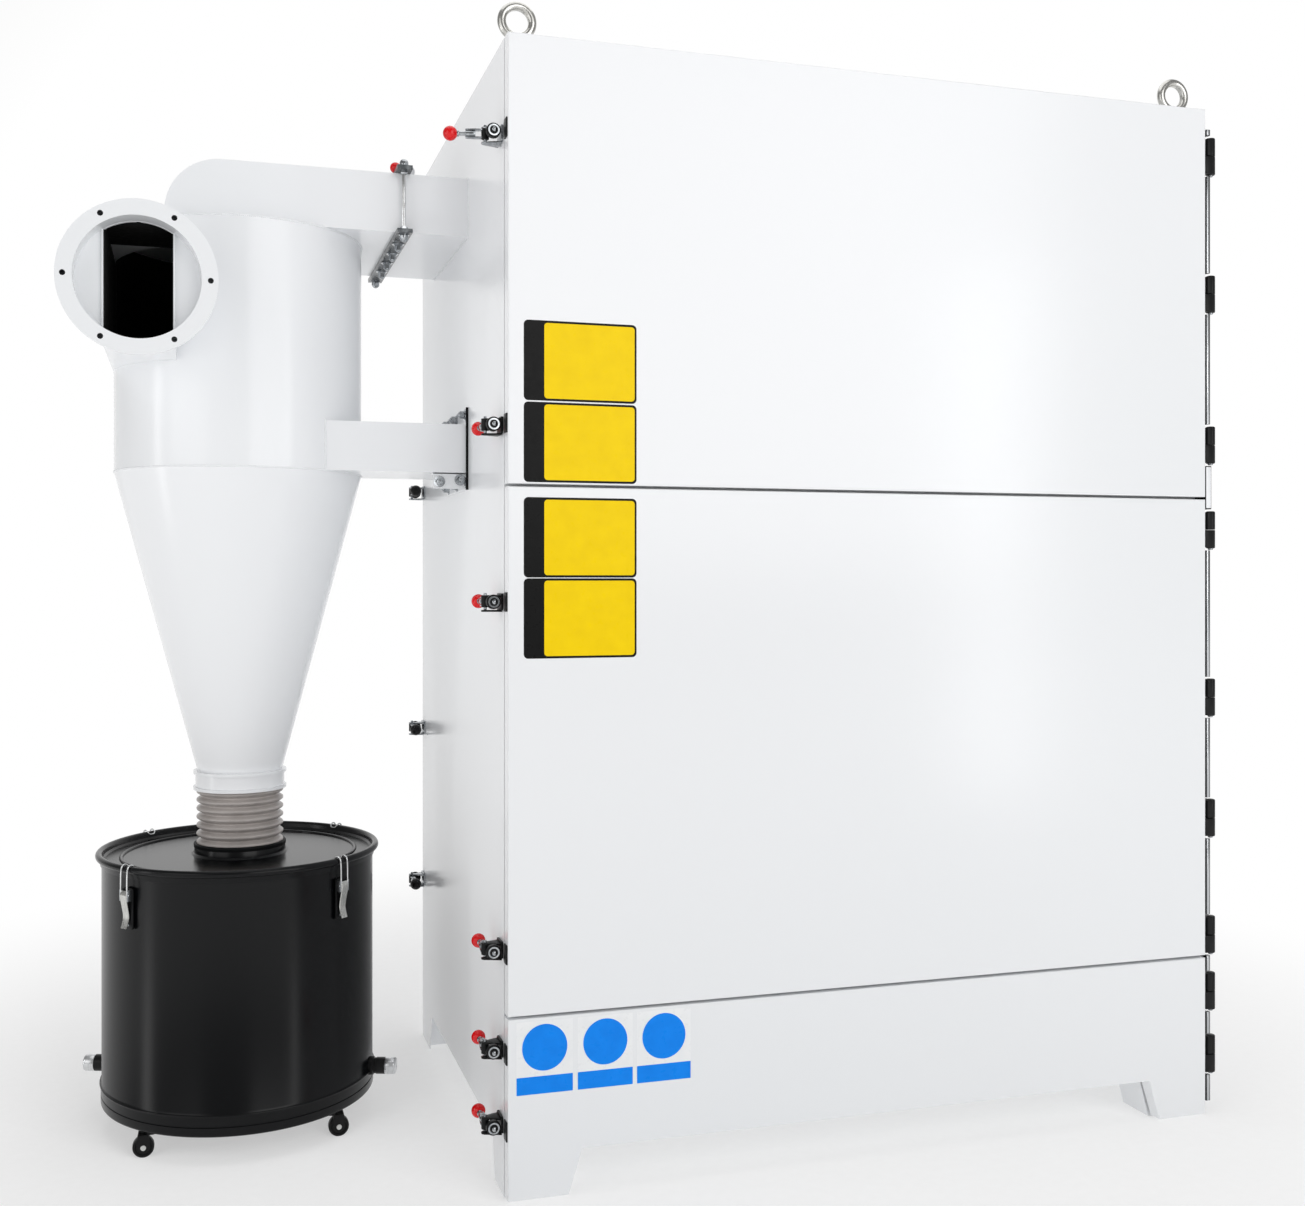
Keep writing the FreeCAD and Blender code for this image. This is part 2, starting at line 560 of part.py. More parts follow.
# ---- support arm --------------------------------------------------------------------------------
arm_x = f"{AXIS_X} + arm_start"
arm_outside = box(arm_x, f"{FRONT} + arm_front", "arm_foot", "cyclone_out - arm_start - plate",
                  "arm_back - arm_front", "arm_top - arm_foot")
arm_inside = box(arm_x, f"{FRONT} + arm_front + plate", "arm_foot + plate",
                 "cyclone_out - arm_start - plate", "arm_back - arm_front - 2 * plate",
                 "arm_top - arm_foot - 2 * plate")
arm_end = rod(AXIS_X, AXIS_Y, "arm_foot - 1", "barrel_radius", "arm_top - arm_foot + 2")
node(cut(arm_outside, [arm_inside, arm_end]), "support_arm")
node(box(f"{LEFT} - plate", f"{FRONT} + arm_front - plate", "arm_foot - arm_flange_margin", "plate",
         "arm_back - arm_front + arm_flange_margin / 2",
         "arm_top - arm_foot + 2 * arm_flange_margin"), "arm_flange")


# ---- dust drum ----------------------------------------------------------------------------------
node(revolved("drum_body", AXIS_X, AXIS_Y,
              [("0", "drum_foot"), ("drum_radius - drum_roll", "drum_foot"),
               ("drum_radius", "drum_foot + drum_roll"), ("drum_radius", "drum_top"),
               ("drum_radius - drum_sheet", "drum_top"),
               ("drum_radius - drum_sheet", "drum_foot + drum_roll + 1"),
               ("drum_radius - drum_roll - 1", "drum_foot + drum_sheet"),
               ("0", "drum_foot + drum_sheet")]), "drum_body")
node(revolved("drum_lid", AXIS_X, AXIS_Y,
              [("hose_bore", "drum_top"), ("lid_radius", "drum_top"),
               ("lid_radius", "lid_top - drum_roll"), ("lid_radius - drum_roll", "lid_top"),
               ("lid_radius - lid_rim", "lid_top"), ("lid_radius - lid_rim", "drum_top + drum_sheet"),
               ("hose_core + lid_neck", "drum_top + drum_sheet"), ("hose_core + lid_neck", "hose_foot"),
               ("hose_bore", "hose_foot")]), "drum_lid")
HANDLE_Z = "drum_foot + handle_rise"


def handle(angle):
    """Round bar standing out of the drum's wall."""
    grip = rod("drum_radius - drum_sheet", "0", HANDLE_Z, "handle_radius", "handle_reach", "X")
    wall = rod("0", "0", "drum_foot", "drum_radius", "drum_top - drum_foot")
    return put(cut(grip, [wall]), AXIS_X, AXIS_Y, "0", FreeCAD.Rotation(FreeCAD.Vector(0, 0, 1), angle))


node(fuse([handle(angle) for angle in HANDLE_ANGLES]), "drum_handles")


def latch(angle):
    """Draw latch against the drum's wall: a backing plate and the closed lever in front of it."""
    backing = box("-latch_width / 2", "-drum_radius - fork_bridge", "drum_top - latch_drop",
                  "latch_width", "latch_plate", "latch_rise")
    lever = box("-latch_lever_width / 2", "-drum_radius - latch_out", "drum_top - latch_drop + 4",
                "latch_lever_width", "latch_out - fork_bridge", "latch_lever_rise")
    wall = rod("0", "0", "drum_foot", "drum_radius", "drum_top - drum_foot")
    return put(cut(fuse([backing, lever]), [wall]), AXIS_X, AXIS_Y, "0",
               FreeCAD.Rotation(FreeCAD.Vector(0, 0, 1), angle))


node(fuse([latch(angle) for angle in LATCH_ANGLES]), "drum_latches")


# ---- casters ------------------------------------------------------------------------------------
def caster_centre(angle):
    return (f"{AXIS_X} + {math.cos(math.radians(angle))} * caster_pitch",
            f"{AXIS_Y} + {math.sin(math.radians(angle))} * caster_pitch")


def caster_fork(x, y, wheel_x):
    """Crown under the pad, two cheeks beside the wheel and the axle across them."""
    crown = rod(x, y, "drum_foot - fork_top", "crown_radius", "crown_rise")
    cheek_x, far = f"{wheel_x} - fork_width / 2", "wheel_width / 2 + wheel_play"
    cheeks = [box(cheek_x, f"{y} + {side}", "wheel_radius - fork_drop", "fork_width", "fork_sheet",
                  "drum_foot - fork_top - wheel_radius + fork_drop")
              for side in (far, f"-({far}) - fork_sheet")]
    bridge = box(cheek_x, f"{y} - ({far}) - fork_sheet", "drum_foot - fork_top - fork_bridge + 1",
                 "fork_width", f"2 * ({far}) + 2 * fork_sheet", "fork_bridge")
    axle = rod(wheel_x, f"{y} - ({far}) - fork_sheet", "wheel_radius", "axle_radius",
               f"2 * ({far}) + 2 * fork_sheet", "Y")
    bore = rod(x, y, "drum_foot - fork_top - 1", "king_pin_radius + pin_play", "crown_rise + 2")
    return cut(fuse([crown, bridge, axle] + cheeks), [bore])


def caster_wheel(wheel_x, y):
    wheel = rod(wheel_x, f"{y} - wheel_width / 2", "wheel_radius", "wheel_radius", "wheel_width", "Y")
    bore = rod(wheel_x, f"{y} - wheel_width", "wheel_radius", "axle_radius + pin_play",
               "2 * wheel_width", "Y")
    return cut(wheel, [bore])


pads = []
for rank, (angle, trail) in enumerate(CASTERS, start=1):
    caster_x, caster_y = caster_centre(angle)
    pads.append(rod(caster_x, caster_y, "drum_foot - pad_rise", "pad_radius", "pad_rise"))
    pads.append(rod(caster_x, caster_y, "drum_foot - pad_rise - king_pin_run", "king_pin_radius",
                    "king_pin_run"))
    wheel_x = f"{caster_x} + {trail} * wheel_trail"
    node(caster_fork(caster_x, caster_y, wheel_x), f"caster_fork_{rank}")
    node(caster_wheel(wheel_x, caster_y), f"caster_wheel_{rank}")
node(fuse(pads), "caster_plates")


# ---- finish -------------------------------------------------------------------------------------
doc.recompute()
for thing in doc.Objects:
    if {"Invalid", "Error"} & set(thing.State):
        raise RuntimeError(f"{thing.Name} ({thing.Label}) failed: {thing.State}")
overall = FreeCAD.BoundBox()
os.makedirs("parts", exist_ok=True)
for thing in nodes:
    if thing.Shape.isNull() or not thing.Shape.isValid():
        raise RuntimeError(f"{thing.Label} has no valid shape")
    thing.Shape.exportStep(f"parts/{thing.Label}.step")
    overall.add(thing.Shape.BoundBox)
    print(f"{thing.Label:28s} solids {len(thing.Shape.Solids):2d}  volume {thing.Shape.Volume / 1000:10.1f} cm3")
print("box", overall)
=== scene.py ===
# %% [markdown]
# # Cyclone separator with its dust collector cabinet
# This lesson dresses a finished steel construction.  The CAD model already holds every piece at its
# real size, so here each piece gets its finish, and small pieces such as bolts, weld beads, the ribbed
# hose and the rolled edges of the drum get their real shape.  Everything is in metres, +Z is up.

# %% Load the construction
import json
import math
import bmesh
import bpy
from mathutils import Matrix, Vector


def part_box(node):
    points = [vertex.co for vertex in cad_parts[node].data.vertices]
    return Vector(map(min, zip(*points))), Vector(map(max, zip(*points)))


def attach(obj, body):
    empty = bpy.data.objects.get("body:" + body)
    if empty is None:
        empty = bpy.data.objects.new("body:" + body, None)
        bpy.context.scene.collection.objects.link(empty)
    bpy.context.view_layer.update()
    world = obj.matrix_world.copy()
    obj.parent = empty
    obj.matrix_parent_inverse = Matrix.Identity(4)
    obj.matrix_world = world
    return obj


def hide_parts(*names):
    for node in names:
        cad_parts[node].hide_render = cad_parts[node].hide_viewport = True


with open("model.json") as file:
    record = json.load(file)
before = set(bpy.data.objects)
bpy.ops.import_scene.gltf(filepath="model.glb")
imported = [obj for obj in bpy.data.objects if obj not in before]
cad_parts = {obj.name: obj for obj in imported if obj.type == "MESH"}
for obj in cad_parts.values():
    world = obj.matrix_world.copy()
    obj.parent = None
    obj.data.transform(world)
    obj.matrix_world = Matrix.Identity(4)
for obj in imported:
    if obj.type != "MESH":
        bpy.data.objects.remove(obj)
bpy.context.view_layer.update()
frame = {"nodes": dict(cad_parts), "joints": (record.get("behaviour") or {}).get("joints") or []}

nodes = frame["nodes"]
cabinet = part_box("left_side_panel")[0]
door_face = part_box("middle_door")[0].y
print("pieces in the construction:", len(nodes))

# %% [markdown]
# ## Colours and finishes
# A paint maker gives colours as sRGB hex values, while a shader works in linear light, so one function
# turns one into the other.  Every material is built from nodes by the same small helper.

# %% Helpers for materials
MM = 0.001


def mm(*sizes):
    """Millimetres to metres: the coordinates of a point, or points one after another."""
    return [mm(*size) if isinstance(size, tuple) else size * MM for size in sizes]


def near(base, *sizes):
    """Points counted in millimetres from a base point."""
    return [tuple(start + step * MM for start, step in zip(base, size)) for size in sizes]


def linear(hex_text):
    """Linear RGBA of an sRGB hex colour."""
    channels = [int(hex_text[i:i + 2], 16) / 255 for i in (1, 3, 5)]
    return [c / 12.92 if c <= 0.04045 else ((c + 0.055) / 1.055) ** 2.4 for c in channels] + [1.0]


def add(tree, kind, inputs=None, **settings):
    """Add a node; inputs are values, or sockets to link from."""
    node = tree.nodes.new(kind)
    for name, value in settings.items():
        setattr(node, name, value)
    for name, value in (inputs or {}).items():
        if isinstance(value, bpy.types.NodeSocket):
            tree.links.new(value, node.inputs[name])
        else:
            node.inputs[name].default_value = value
    return node


def new_material(name):
    """Empty node material, its node tree and its object coordinates."""
    material = bpy.data.materials.new(name)
    material.use_nodes = True
    tree = material.node_tree
    tree.nodes.clear()
    place = add(tree, "ShaderNodeTexCoord").outputs["Object"]
    return material, tree, place


def close(tree, shader):
    add(tree, "ShaderNodeOutputMaterial", {"Surface": shader.outputs[0]})


def varied(tree, place, low, high, size_mm, detail=3.0):
    """A noise of that real grain size, spread between two values."""
    noise = add(tree, "ShaderNodeTexNoise", {
        "Vector": place, "Scale": 1 / (size_mm * MM), "Detail": detail})
    spread = add(tree, "ShaderNodeMapRange", {"Value": noise.outputs["Fac"], "From Min": 0.3,
                                              "From Max": 0.7, "To Min": low, "To Max": high})
    return spread.outputs["Result"]


def tinted(tree, place, first, second, size_mm, detail=3.0):
    """A colour that drifts softly between two paints."""
    share = varied(tree, place, 0.0, 1.0, size_mm, detail)
    mix = add(tree, "ShaderNodeMix", {"Factor": share}, data_type="RGBA")
    mix.inputs[6].default_value = linear(first)
    mix.inputs[7].default_value = linear(second)
    return mix.outputs[2]


def relief(tree, place, size_mm, height_mm, strength=1.0, detail=2.0):
    """Bump from a noise, its grain and height in millimetres."""
    noise = add(tree, "ShaderNodeTexNoise", {
        "Vector": place, "Scale": 1 / (size_mm * MM), "Detail": detail})
    bump = add(tree, "ShaderNodeBump", {"Height": noise.outputs["Fac"], "Strength": strength,
                                        "Distance": height_mm * MM})
    return bump.outputs["Normal"]


print("white paint in linear light:", [round(c, 3) for c in linear("#F3F5F7")])

# %% [markdown]
# ### Powder-coated steel
# The cabinet and the cyclone are mild steel sheet with a baked white polyester powder coat.  Baked powder
# flows into a glossy skin that is never quite flat: it has a faint orange peel about 3 mm across, which
# makes reflections waver.  A drift of tint a hand wide keeps the large doors from looking like plastic.

# %% White powder coat
def powder_coat(name, first, second, roughness, peel_mm=3.0, peel_height=0.004, gloss=0.5):
    material, tree, place = new_material(name)
    shader = add(tree, "ShaderNodeBsdfPrincipled", {
        "Base Color": tinted(tree, place, first, second, 1400.0, 0.5),
        "Roughness": varied(tree, place, roughness * 0.96, roughness * 1.05, 500.0, 0.5),
        "Normal": relief(tree, place, peel_mm, peel_height, 0.6),
        "IOR": 1.48, "Specular IOR Level": gloss})
    close(tree, shader)
    return material


white_coat = powder_coat("powder_coated_steel_white", "#F5F6F8", "#F2F4F6", 0.19)
inner_coat = powder_coat("powder_coated_steel_inside", "#E9EBEC", "#E2E4E6", 0.38)
black_coat = powder_coat("baked_enamel_black", "#060709", "#08090B", 0.23, 1.6, 0.003, 0.25)
print("paints:", white_coat.name, inner_coat.name, black_coat.name)

# %% [markdown]
# ### Bare and plated metals
# Bolts and eyes are bright zinc plated: slightly bluish, with soft blotches where the bath left its
# mark.  Levers and wire loops are chrome plated and nearly a mirror.  Stainless strips are brushed along
# their length, so the grain is a noise stretched in Z.

# %% Metals
def plated(name, first, second, roughness, blotch_mm, grain_mm=0.6, height_mm=0.002):
    material, tree, place = new_material(name)
    shader = add(tree, "ShaderNodeBsdfPrincipled", {
        "Base Color": tinted(tree, place, first, second, blotch_mm),
        "Roughness": varied(tree, place, roughness * 0.8, roughness * 1.3, blotch_mm),
        "Normal": relief(tree, place, grain_mm, height_mm), "Metallic": 1.0})
    close(tree, shader)
    return material


def brushed(name, first, second, roughness, stretch):
    """Brushed metal; stretch is how much finer the grain is across X, Y and Z."""
    material, tree, place = new_material(name)
    along = add(tree, "ShaderNodeMapping", {"Vector": place, "Scale": stretch}).outputs["Vector"]
    shader = add(tree, "ShaderNodeBsdfPrincipled", {
        "Base Color": tinted(tree, along, first, second, 4.0),
        "Roughness": varied(tree, along, roughness * 0.75, roughness * 1.3, 3.0),
        "Normal": relief(tree, along, 1.0, 0.004), "Metallic": 1.0})
    close(tree, shader)
    return material


zinc = plated("zinc_plated_steel", "#B4B7BA", "#7E8286", 0.22, 5.0)
nickel = plated("nickel_plated_forging", "#D3D2CE", "#BEBDB8", 0.22, 12.0, 1.2, 0.01)
chrome = plated("chrome_plated_steel", "#C2C5C8", "#8F9396", 0.08, 7.0)
bright = plated("polished_stainless_wire", "#E2E3E3", "#D2D3D3", 0.14, 14.0)
dark_steel = plated("blackened_steel_bar", "#5F6264", "#3F4244", 0.25, 9.0)
stainless = brushed("brushed_stainless_strip", "#C6C8CA", "#AEB1B4", 0.28, (1.0, 1.0, 0.05))
satin_steel = brushed("satin_stainless_lever", "#D2D2CF", "#BDBDB9", 0.3, (1.0, 1.0, 0.2))
aluminium = brushed("turned_aluminium_cap", "#E4E5E6", "#CFD1D3", 0.3, (1.0, 0.04, 0.04))
print("metals:", zinc.name, nickel.name, chrome.name, stainless.name, aluminium.name)

# %% [markdown]
# ### Die-cast hinges, plastics, rubber
# The hinges are zinc die castings with a black electrophoretic coat, which keeps the casting's fine
# sand-like skin.  Knobs are red phenolic, moulded and glossy.  The hose is flexible grey PVC over a wire
# helix, dull and a little dusty in its folds.  Seals are black EPDM.

# %% Castings, plastics and rubber
def moulded(name, first, second, roughness, grain_mm, height_mm, coat=0.0, blotch_mm=30.0, gloss=0.5):
    material, tree, place = new_material(name)
    shader = add(tree, "ShaderNodeBsdfPrincipled", {
        "Base Color": tinted(tree, place, first, second, blotch_mm),
        "Roughness": varied(tree, place, roughness * 0.85, roughness * 1.15, blotch_mm / 3),
        "Normal": relief(tree, place, grain_mm, height_mm),
        "IOR": 1.5, "Coat Weight": coat, "Coat Roughness": 0.06, "Specular IOR Level": gloss})
    close(tree, shader)
    return material


black_cast = moulded("coated_zinc_die_casting", "#0C0D0E", "#121314", 0.4, 0.8, 0.02, gloss=0.22)
red_phenolic = moulded("moulded_red_phenolic", "#EE0812", "#DA060E", 0.16, 2.0, 0.003, 0.3, gloss=0.3)
grey_hose = moulded("flexible_pvc_hose", "#BDB6B2", "#ABA4A0", 0.42, 1.2, 0.03, 0.2, 40.0)
black_nylon = moulded("moulded_black_nylon", "#0B0B0C", "#101011", 0.36, 0.9, 0.01, gloss=0.25)
white_nylon = moulded("moulded_white_nylon", "#E4E5E3", "#D6D7D4", 0.4, 0.9, 0.01)
epdm = moulded("extruded_epdm_seal", "#0A0B0C", "#101112", 0.55, 0.7, 0.02, gloss=0.15)
# Near-black matt: painted shade for the unlit inside of the inlet, the barrel and the vortex finder.
painted_shade_black = moulded("black_painted_shade", "#050505", "#090909", 0.7, 2.5, 0.05)
sign_yellow = moulded("printed_film_yellow", "#FFDA00", "#F9D300", 0.3, 3.0, 0.002, gloss=0.12)
sign_black = moulded("printed_film_black", "#0A0A0A", "#0E0E0E", 0.3, 3.0, 0.002, gloss=0.12)
sign_blue = moulded("printed_film_blue", "#128EFC", "#0F86F4", 0.3, 3.0, 0.002, gloss=0.12)
sign_white = moulded("printed_film_white", "#F8F9FA", "#F2F4F6", 0.3, 3.0, 0.002)
print("mouldings:", black_cast.name, red_phenolic.name, grey_hose.name)

# %% [markdown]
# ## Giving the construction its finishes
# A construction piece keeps its mesh; only the material in its slot changes.

# %% Assign materials to the construction
WHITE = ["left_side_panel", "right_side_panel", "roof_panel", "back_panel", "corner_feet", "upper_door",
         "middle_door", "lower_door", "barrel", "cone", "barrel_top_plate", "discharge_collar",
         "inlet_box", "inlet_spigot", "inlet_flange", "outlet_hood", "cabinet_duct", "support_arm",
         "arm_flange"]
FINISHES = {name: white_coat for name in WHITE}
# The vortex finder's near-black is painted shade for the unlit inside of the cyclone.
FINISHES.update({"base_panel": inner_coat, "door_frame": inner_coat, "vortex_finder": painted_shade_black,
                 "hinge_strip": stainless, "lifting_eyes": nickel, "duct_joint_bars": dark_steel,
                 "duct_tie_rods": chrome, "drum_handles": black_cast, "caster_plates": zinc})
CASTINGS = ["upper_door_hinge_leaves", "middle_door_hinge_leaves", "lower_door_hinge_leaves",
            "frame_hinge_leaves", "clamp_bases", "back_clamp_bases"]
FINISHES.update({name: black_cast for name in CASTINGS})
FINISHES.update({"drum_body": black_coat, "drum_lid": black_coat, "bellows_hose": grey_hose,
                 "back_clamp_levers": chrome, "drum_latches": chrome})
FINISHES.update({f"clamp_lever_{rank}": chrome for rank in range(1, 7)})
for rank in range(1, 5):
    FINISHES[f"caster_fork_{rank}"] = zinc
    FINISHES[f"caster_wheel_{rank}"] = black_nylon
for name, material in FINISHES.items():
    nodes[name].data.materials.clear()
    nodes[name].data.materials.append(material)
print("construction pieces with a finish:", len(FINISHES), "of", len(nodes))

# %% [markdown]
# ## Forms
# Every small piece is put together from a few forms: a block with its edges broken, a turned form made
# on a lathe, a bent wire, and a plate cut to an outline.  Each form is a mesh in memory; one function then
# joins the forms of a piece, gives each its finish, and fixes the piece to the body it moves with.

# %% Join forms into a piece
def piece(name, parts, body, stands_for=(), crease=32):
    """Join (form, finish) pairs into one object that moves with a body."""
    joined = bmesh.new()
    mesh = bpy.data.meshes.new(name)
    finishes = []
    for form, finish in parts:
        if finish not in finishes:
            finishes.append(finish)
            mesh.materials.append(finish)
        bmesh.ops.recalc_face_normals(form, faces=form.faces)
        for face in form.faces:
            face.material_index = finishes.index(finish)
            face.smooth = True
        loose = bpy.data.meshes.new("loose")
        form.to_mesh(loose)
        form.free()
        joined.from_mesh(loose)
        bpy.data.meshes.remove(loose)
    joined.to_mesh(mesh)
    joined.free()
    mesh.set_sharp_from_angle(angle=math.radians(crease))
    made = bpy.data.objects.new(name, mesh)
    bpy.context.scene.collection.objects.link(made)
    return fixed(made, body, stands_for)


def fixed(made, body, stands_for=()):
    """Fix an object to the body it moves with, and hide the construction pieces it stands for."""
    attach(made, body)
    if stands_for:
        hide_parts(*stands_for)
    return made


print("a piece is joined, dressed and fixed to its body")

# %% Block, turned form, bar and ball
def block(low, high, edge=0.0, rows=2):
    form = bmesh.new()
    bmesh.ops.create_cube(form, size=1.0)
    for vert in form.verts:
        vert.co = Vector([low[i] + (vert.co[i] + 0.5) * (high[i] - low[i]) for i in range(3)])
    if edge:
        bmesh.ops.bevel(form, geom=form.edges[:], offset=edge, segments=rows, affect="EDGES", profile=0.5)
    return form


def turned(profile, centre, steps=96, axis=(0, 0, 1), ring=False):
    """Turn a profile of (radius, height) about an axis; ring joins its last point to its first."""
    form = bmesh.new()
    rows = []
    for radius, height in profile:
        if radius < 1e-6:
            rows.append([form.verts.new((0, 0, height))] * steps)
            continue
        rows.append([form.verts.new((radius * math.cos(math.tau * i / steps),
                                     radius * math.sin(math.tau * i / steps), height))
                     for i in range(steps)])
    pairs = list(zip(rows, rows[1:])) + ([(rows[-1], rows[0])] if ring else [])
    for lower, upper in pairs:
        for i in range(steps):
            j = (i + 1) % steps
            corners = list(dict.fromkeys((lower[i], lower[j], upper[j], upper[i])))
            if len(corners) > 2:
                form.faces.new(corners)
    turn = Vector((0, 0, 1)).rotation_difference(Vector(axis)).to_matrix().to_4x4()
    form.transform(Matrix.Translation(centre) @ turn)
    return form


def bar(start, end, radius, steps=24, edge=0.0):
    """Round bar from start to end with slightly rounded ends."""
    start, end = Vector(start), Vector(end)
    length = (end - start).length
    edge = edge or radius * 0.15
    profile = [(0, 0), (radius - edge, 0), (radius - 0.3 * edge, 0.3 * edge), (radius, edge),
               (radius, length - edge), (radius - 0.3 * edge, length - 0.3 * edge),
               (radius - edge, length), (0, length)]
    return turned(profile, start, steps, (end - start).normalized())


def ball(centre, radius, steps=32):
    rows = steps // 2
    profile = [(radius * math.sin(math.pi * i / rows), -radius * math.cos(math.pi * i / rows))
               for i in range(rows + 1)]
    return turned(profile, centre, steps)


print("lathe forms ready")

# %% Bent wire and cut plate
def wire(path, radius, steps=12, joined=False):
    """Round wire that follows points; joined closes it into a loop."""
    points = [Vector(point) for point in path]
    count = len(points)
    form = bmesh.new()
    rings = []
    side = None
    for i, point in enumerate(points):
        before = points[i - 1] if i or joined else point
        after = points[(i + 1) % count] if i < count - 1 or joined else point
        along = (after - before).normalized()
        if side is None:
            side = along.orthogonal().normalized()
        side = (side - along * side.dot(along)).normalized()
        other = along.cross(side)
        rings.append([form.verts.new(point + radius * (math.cos(math.tau * k / steps) * side
                                                       + math.sin(math.tau * k / steps) * other))
                      for k in range(steps)])
    for low, high in zip(rings, rings[1:] + (rings[:1] if joined else [])):
        for k in range(steps):
            form.faces.new((low[k], low[(k + 1) % steps], high[(k + 1) % steps], high[k]))
    if not joined:
        form.faces.new(rings[0])
        form.faces.new(rings[-1])
    return form


def smooth_path(corners, steps=6, joined=False):
    """Points of an even curve through corners (Catmull-Rom)."""
    corners = [Vector(corner) for corner in corners]
    count = len(corners)
    path = []
    for i in range(count if joined else count - 1):
        pick = [corners[(i + k) % count] if joined else corners[min(max(i + k, 0), count - 1)]
                for k in (-1, 0, 1, 2)]
        for k in range(steps):
            t = k / steps
            path.append(0.5 * (2 * pick[1] + (pick[2] - pick[0]) * t
                               + (2 * pick[0] - 5 * pick[1] + 4 * pick[2] - pick[3]) * t ** 2
                               + (3 * pick[1] - pick[0] - 3 * pick[2] + pick[3]) * t ** 3))
    return path if joined else path + [corners[-1]]


def cut_plate(outline, thickness, edge=0.0):
    """Plate cut to an outline of (x, z), its front at y = 0 and its back at y = thickness."""
    form = bmesh.new()
    face = form.faces.new([form.verts.new((x, 0, z)) for x, z in outline])
    grown = bmesh.ops.extrude_face_region(form, geom=[face])["geom"]
    bmesh.ops.translate(form, verts=[v for v in grown if isinstance(v, bmesh.types.BMVert)],
                        vec=(0, thickness, 0))
    if edge:
        bmesh.ops.recalc_face_normals(form, faces=form.faces)
        sharp = [e for e in form.edges if e.calc_face_angle(0) > 0.6]
        bmesh.ops.bevel(form, geom=sharp, offset=edge, segments=2, affect="EDGES", profile=0.5)
    return form


def rounded_outline(low, high, radius, steps=6):
    """Rectangle of (x, z) with round corners."""
    outline = []
    left, right = low[0] + radius, high[0] - radius
    bottom, top = low[1] + radius, high[1] - radius
    for turn, (x, z) in enumerate(((right, top), (left, top), (left, bottom), (right, bottom))):
        for k in range(steps + 1):
            angle = math.pi / 2 * (turn + k / steps)
            outline.append((x + radius * math.cos(angle), z + radius * math.sin(angle)))
    return outline


def moved(form, shift=(0, 0, 0), angle=0.0, about=(0, 0, 1)):
    """Turn a form about an axis through the origin, then shift it."""
    form.transform(Matrix.Translation(shift) @ Matrix.Rotation(angle, 4, Vector(about)))
    return form


print("bent and cut forms ready")

# %% [markdown]
# ## Dust drum
# The drum is rolled from 2 mm sheet, seamed, and enamelled black.  Near its foot a fine groove and a round
# bead are pressed in to stiffen it, and its foot is curled under.  The lid is a pressing with a curled
# rim, a sunk floor and a neck for the hose.  Turned forms are the natural way to make both: one half
# section swept round the axis.

# %% Drum body and lid
drum_low, drum_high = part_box("drum_body")
axis = Vector(((drum_low.x + drum_high.x) / 2, (drum_low.y + drum_high.y) / 2, 0))
drum_radius = (drum_high.x - drum_low.x) / 2
drum_foot, drum_top = drum_low.z, drum_high.z


def arc(centre, radius, start, end, steps=8):
    """Profile points of an arc, angles in degrees from the outward direction."""
    turns = [math.radians(start + (end - start) * k / steps) for k in range(steps + 1)]
    return [(centre[0] + radius * math.cos(t), centre[1] + radius * math.sin(t)) for t in turns]


wall = drum_radius - 2.5 * MM
skirt = drum_foot + 40 * MM
drum_profile = [(0, drum_foot + 7 * MM), (wall - 13 * MM, drum_foot + 7 * MM),
                *arc((wall - 5 * MM, drum_foot + 5 * MM), 5 * MM, 180, 360),
                *near((wall, drum_foot), (0, 18), (-1.6, 19), (-1.6, 20.5), (0, 21.5)),
                (wall, skirt - 7 * MM), *arc((wall, skirt), 2.4 * MM, -90, 90),
                (wall - 1.5 * MM, skirt + 5 * MM), *near((wall, drum_top), (-1.5, 0), (-3.5, 0)),
                (wall - 3.5 * MM, drum_foot + 9 * MM), (0, drum_foot + 9 * MM)]
piece("drum_shell", [(turned(drum_profile, axis, 160), black_coat)], "cabinet",
      ["drum_body"])
lid_low, lid_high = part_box("drum_lid")
lid_radius = (lid_high.x - lid_low.x) / 2
neck = 88 * MM
rim = lid_radius - 7 * MM
sunk = drum_top + 3 * MM
lid_profile = [(neck - 14 * MM, lid_high.z), (neck, lid_high.z), (neck + 1.5 * MM, lid_high.z - 3 * MM),
               (neck + 3 * MM, sunk + 4 * MM), (neck + 8 * MM, sunk), (rim - 48 * MM, sunk),
               *arc((rim - 42 * MM, sunk), 4 * MM, 180, 0), (rim - 34 * MM, sunk),
               (rim - 12 * MM, sunk + 0.5 * MM), (rim - 8 * MM, sunk + 4 * MM),
               *arc((rim, drum_top + 11.5 * MM), 7 * MM, 170, -90, 14), (rim - 2.5 * MM, drum_top - 6 * MM),
               (rim - 4 * MM, drum_top), (neck - 14 * MM, drum_top)]
piece("drum_lid_pressing", [(turned(lid_profile, axis, 160, ring=True), black_coat)], "cabinet",
      ["drum_lid"])
print("drum:", round(2 * drum_radius * 1000), "mm across,", round((drum_top - drum_foot) * 1000), "mm tall")

# %% [markdown]
# ### Draw latches
# A draw latch has a backing plate riveted to the drum, a curved stainless lever on a pin, and a loop of
# wire that hooks over the lid's rim.  The lever's side view is drawn as a strip of even thickness and
# pushed out sideways; the loop is a wire bent round a rectangle.  Four of them stand round the drum.

# %% Draw latches
LATCH_ANGLES = (-50, 42, 130, 222)
front = -drum_radius
lever_line = smooth_path(near((0, front, 0), (0, -10, -27), (0, -14, -35), (0, -11, -52), (0, -7, -74),
                              (0, -9.5, -88), (0, -13, -97)), 5)


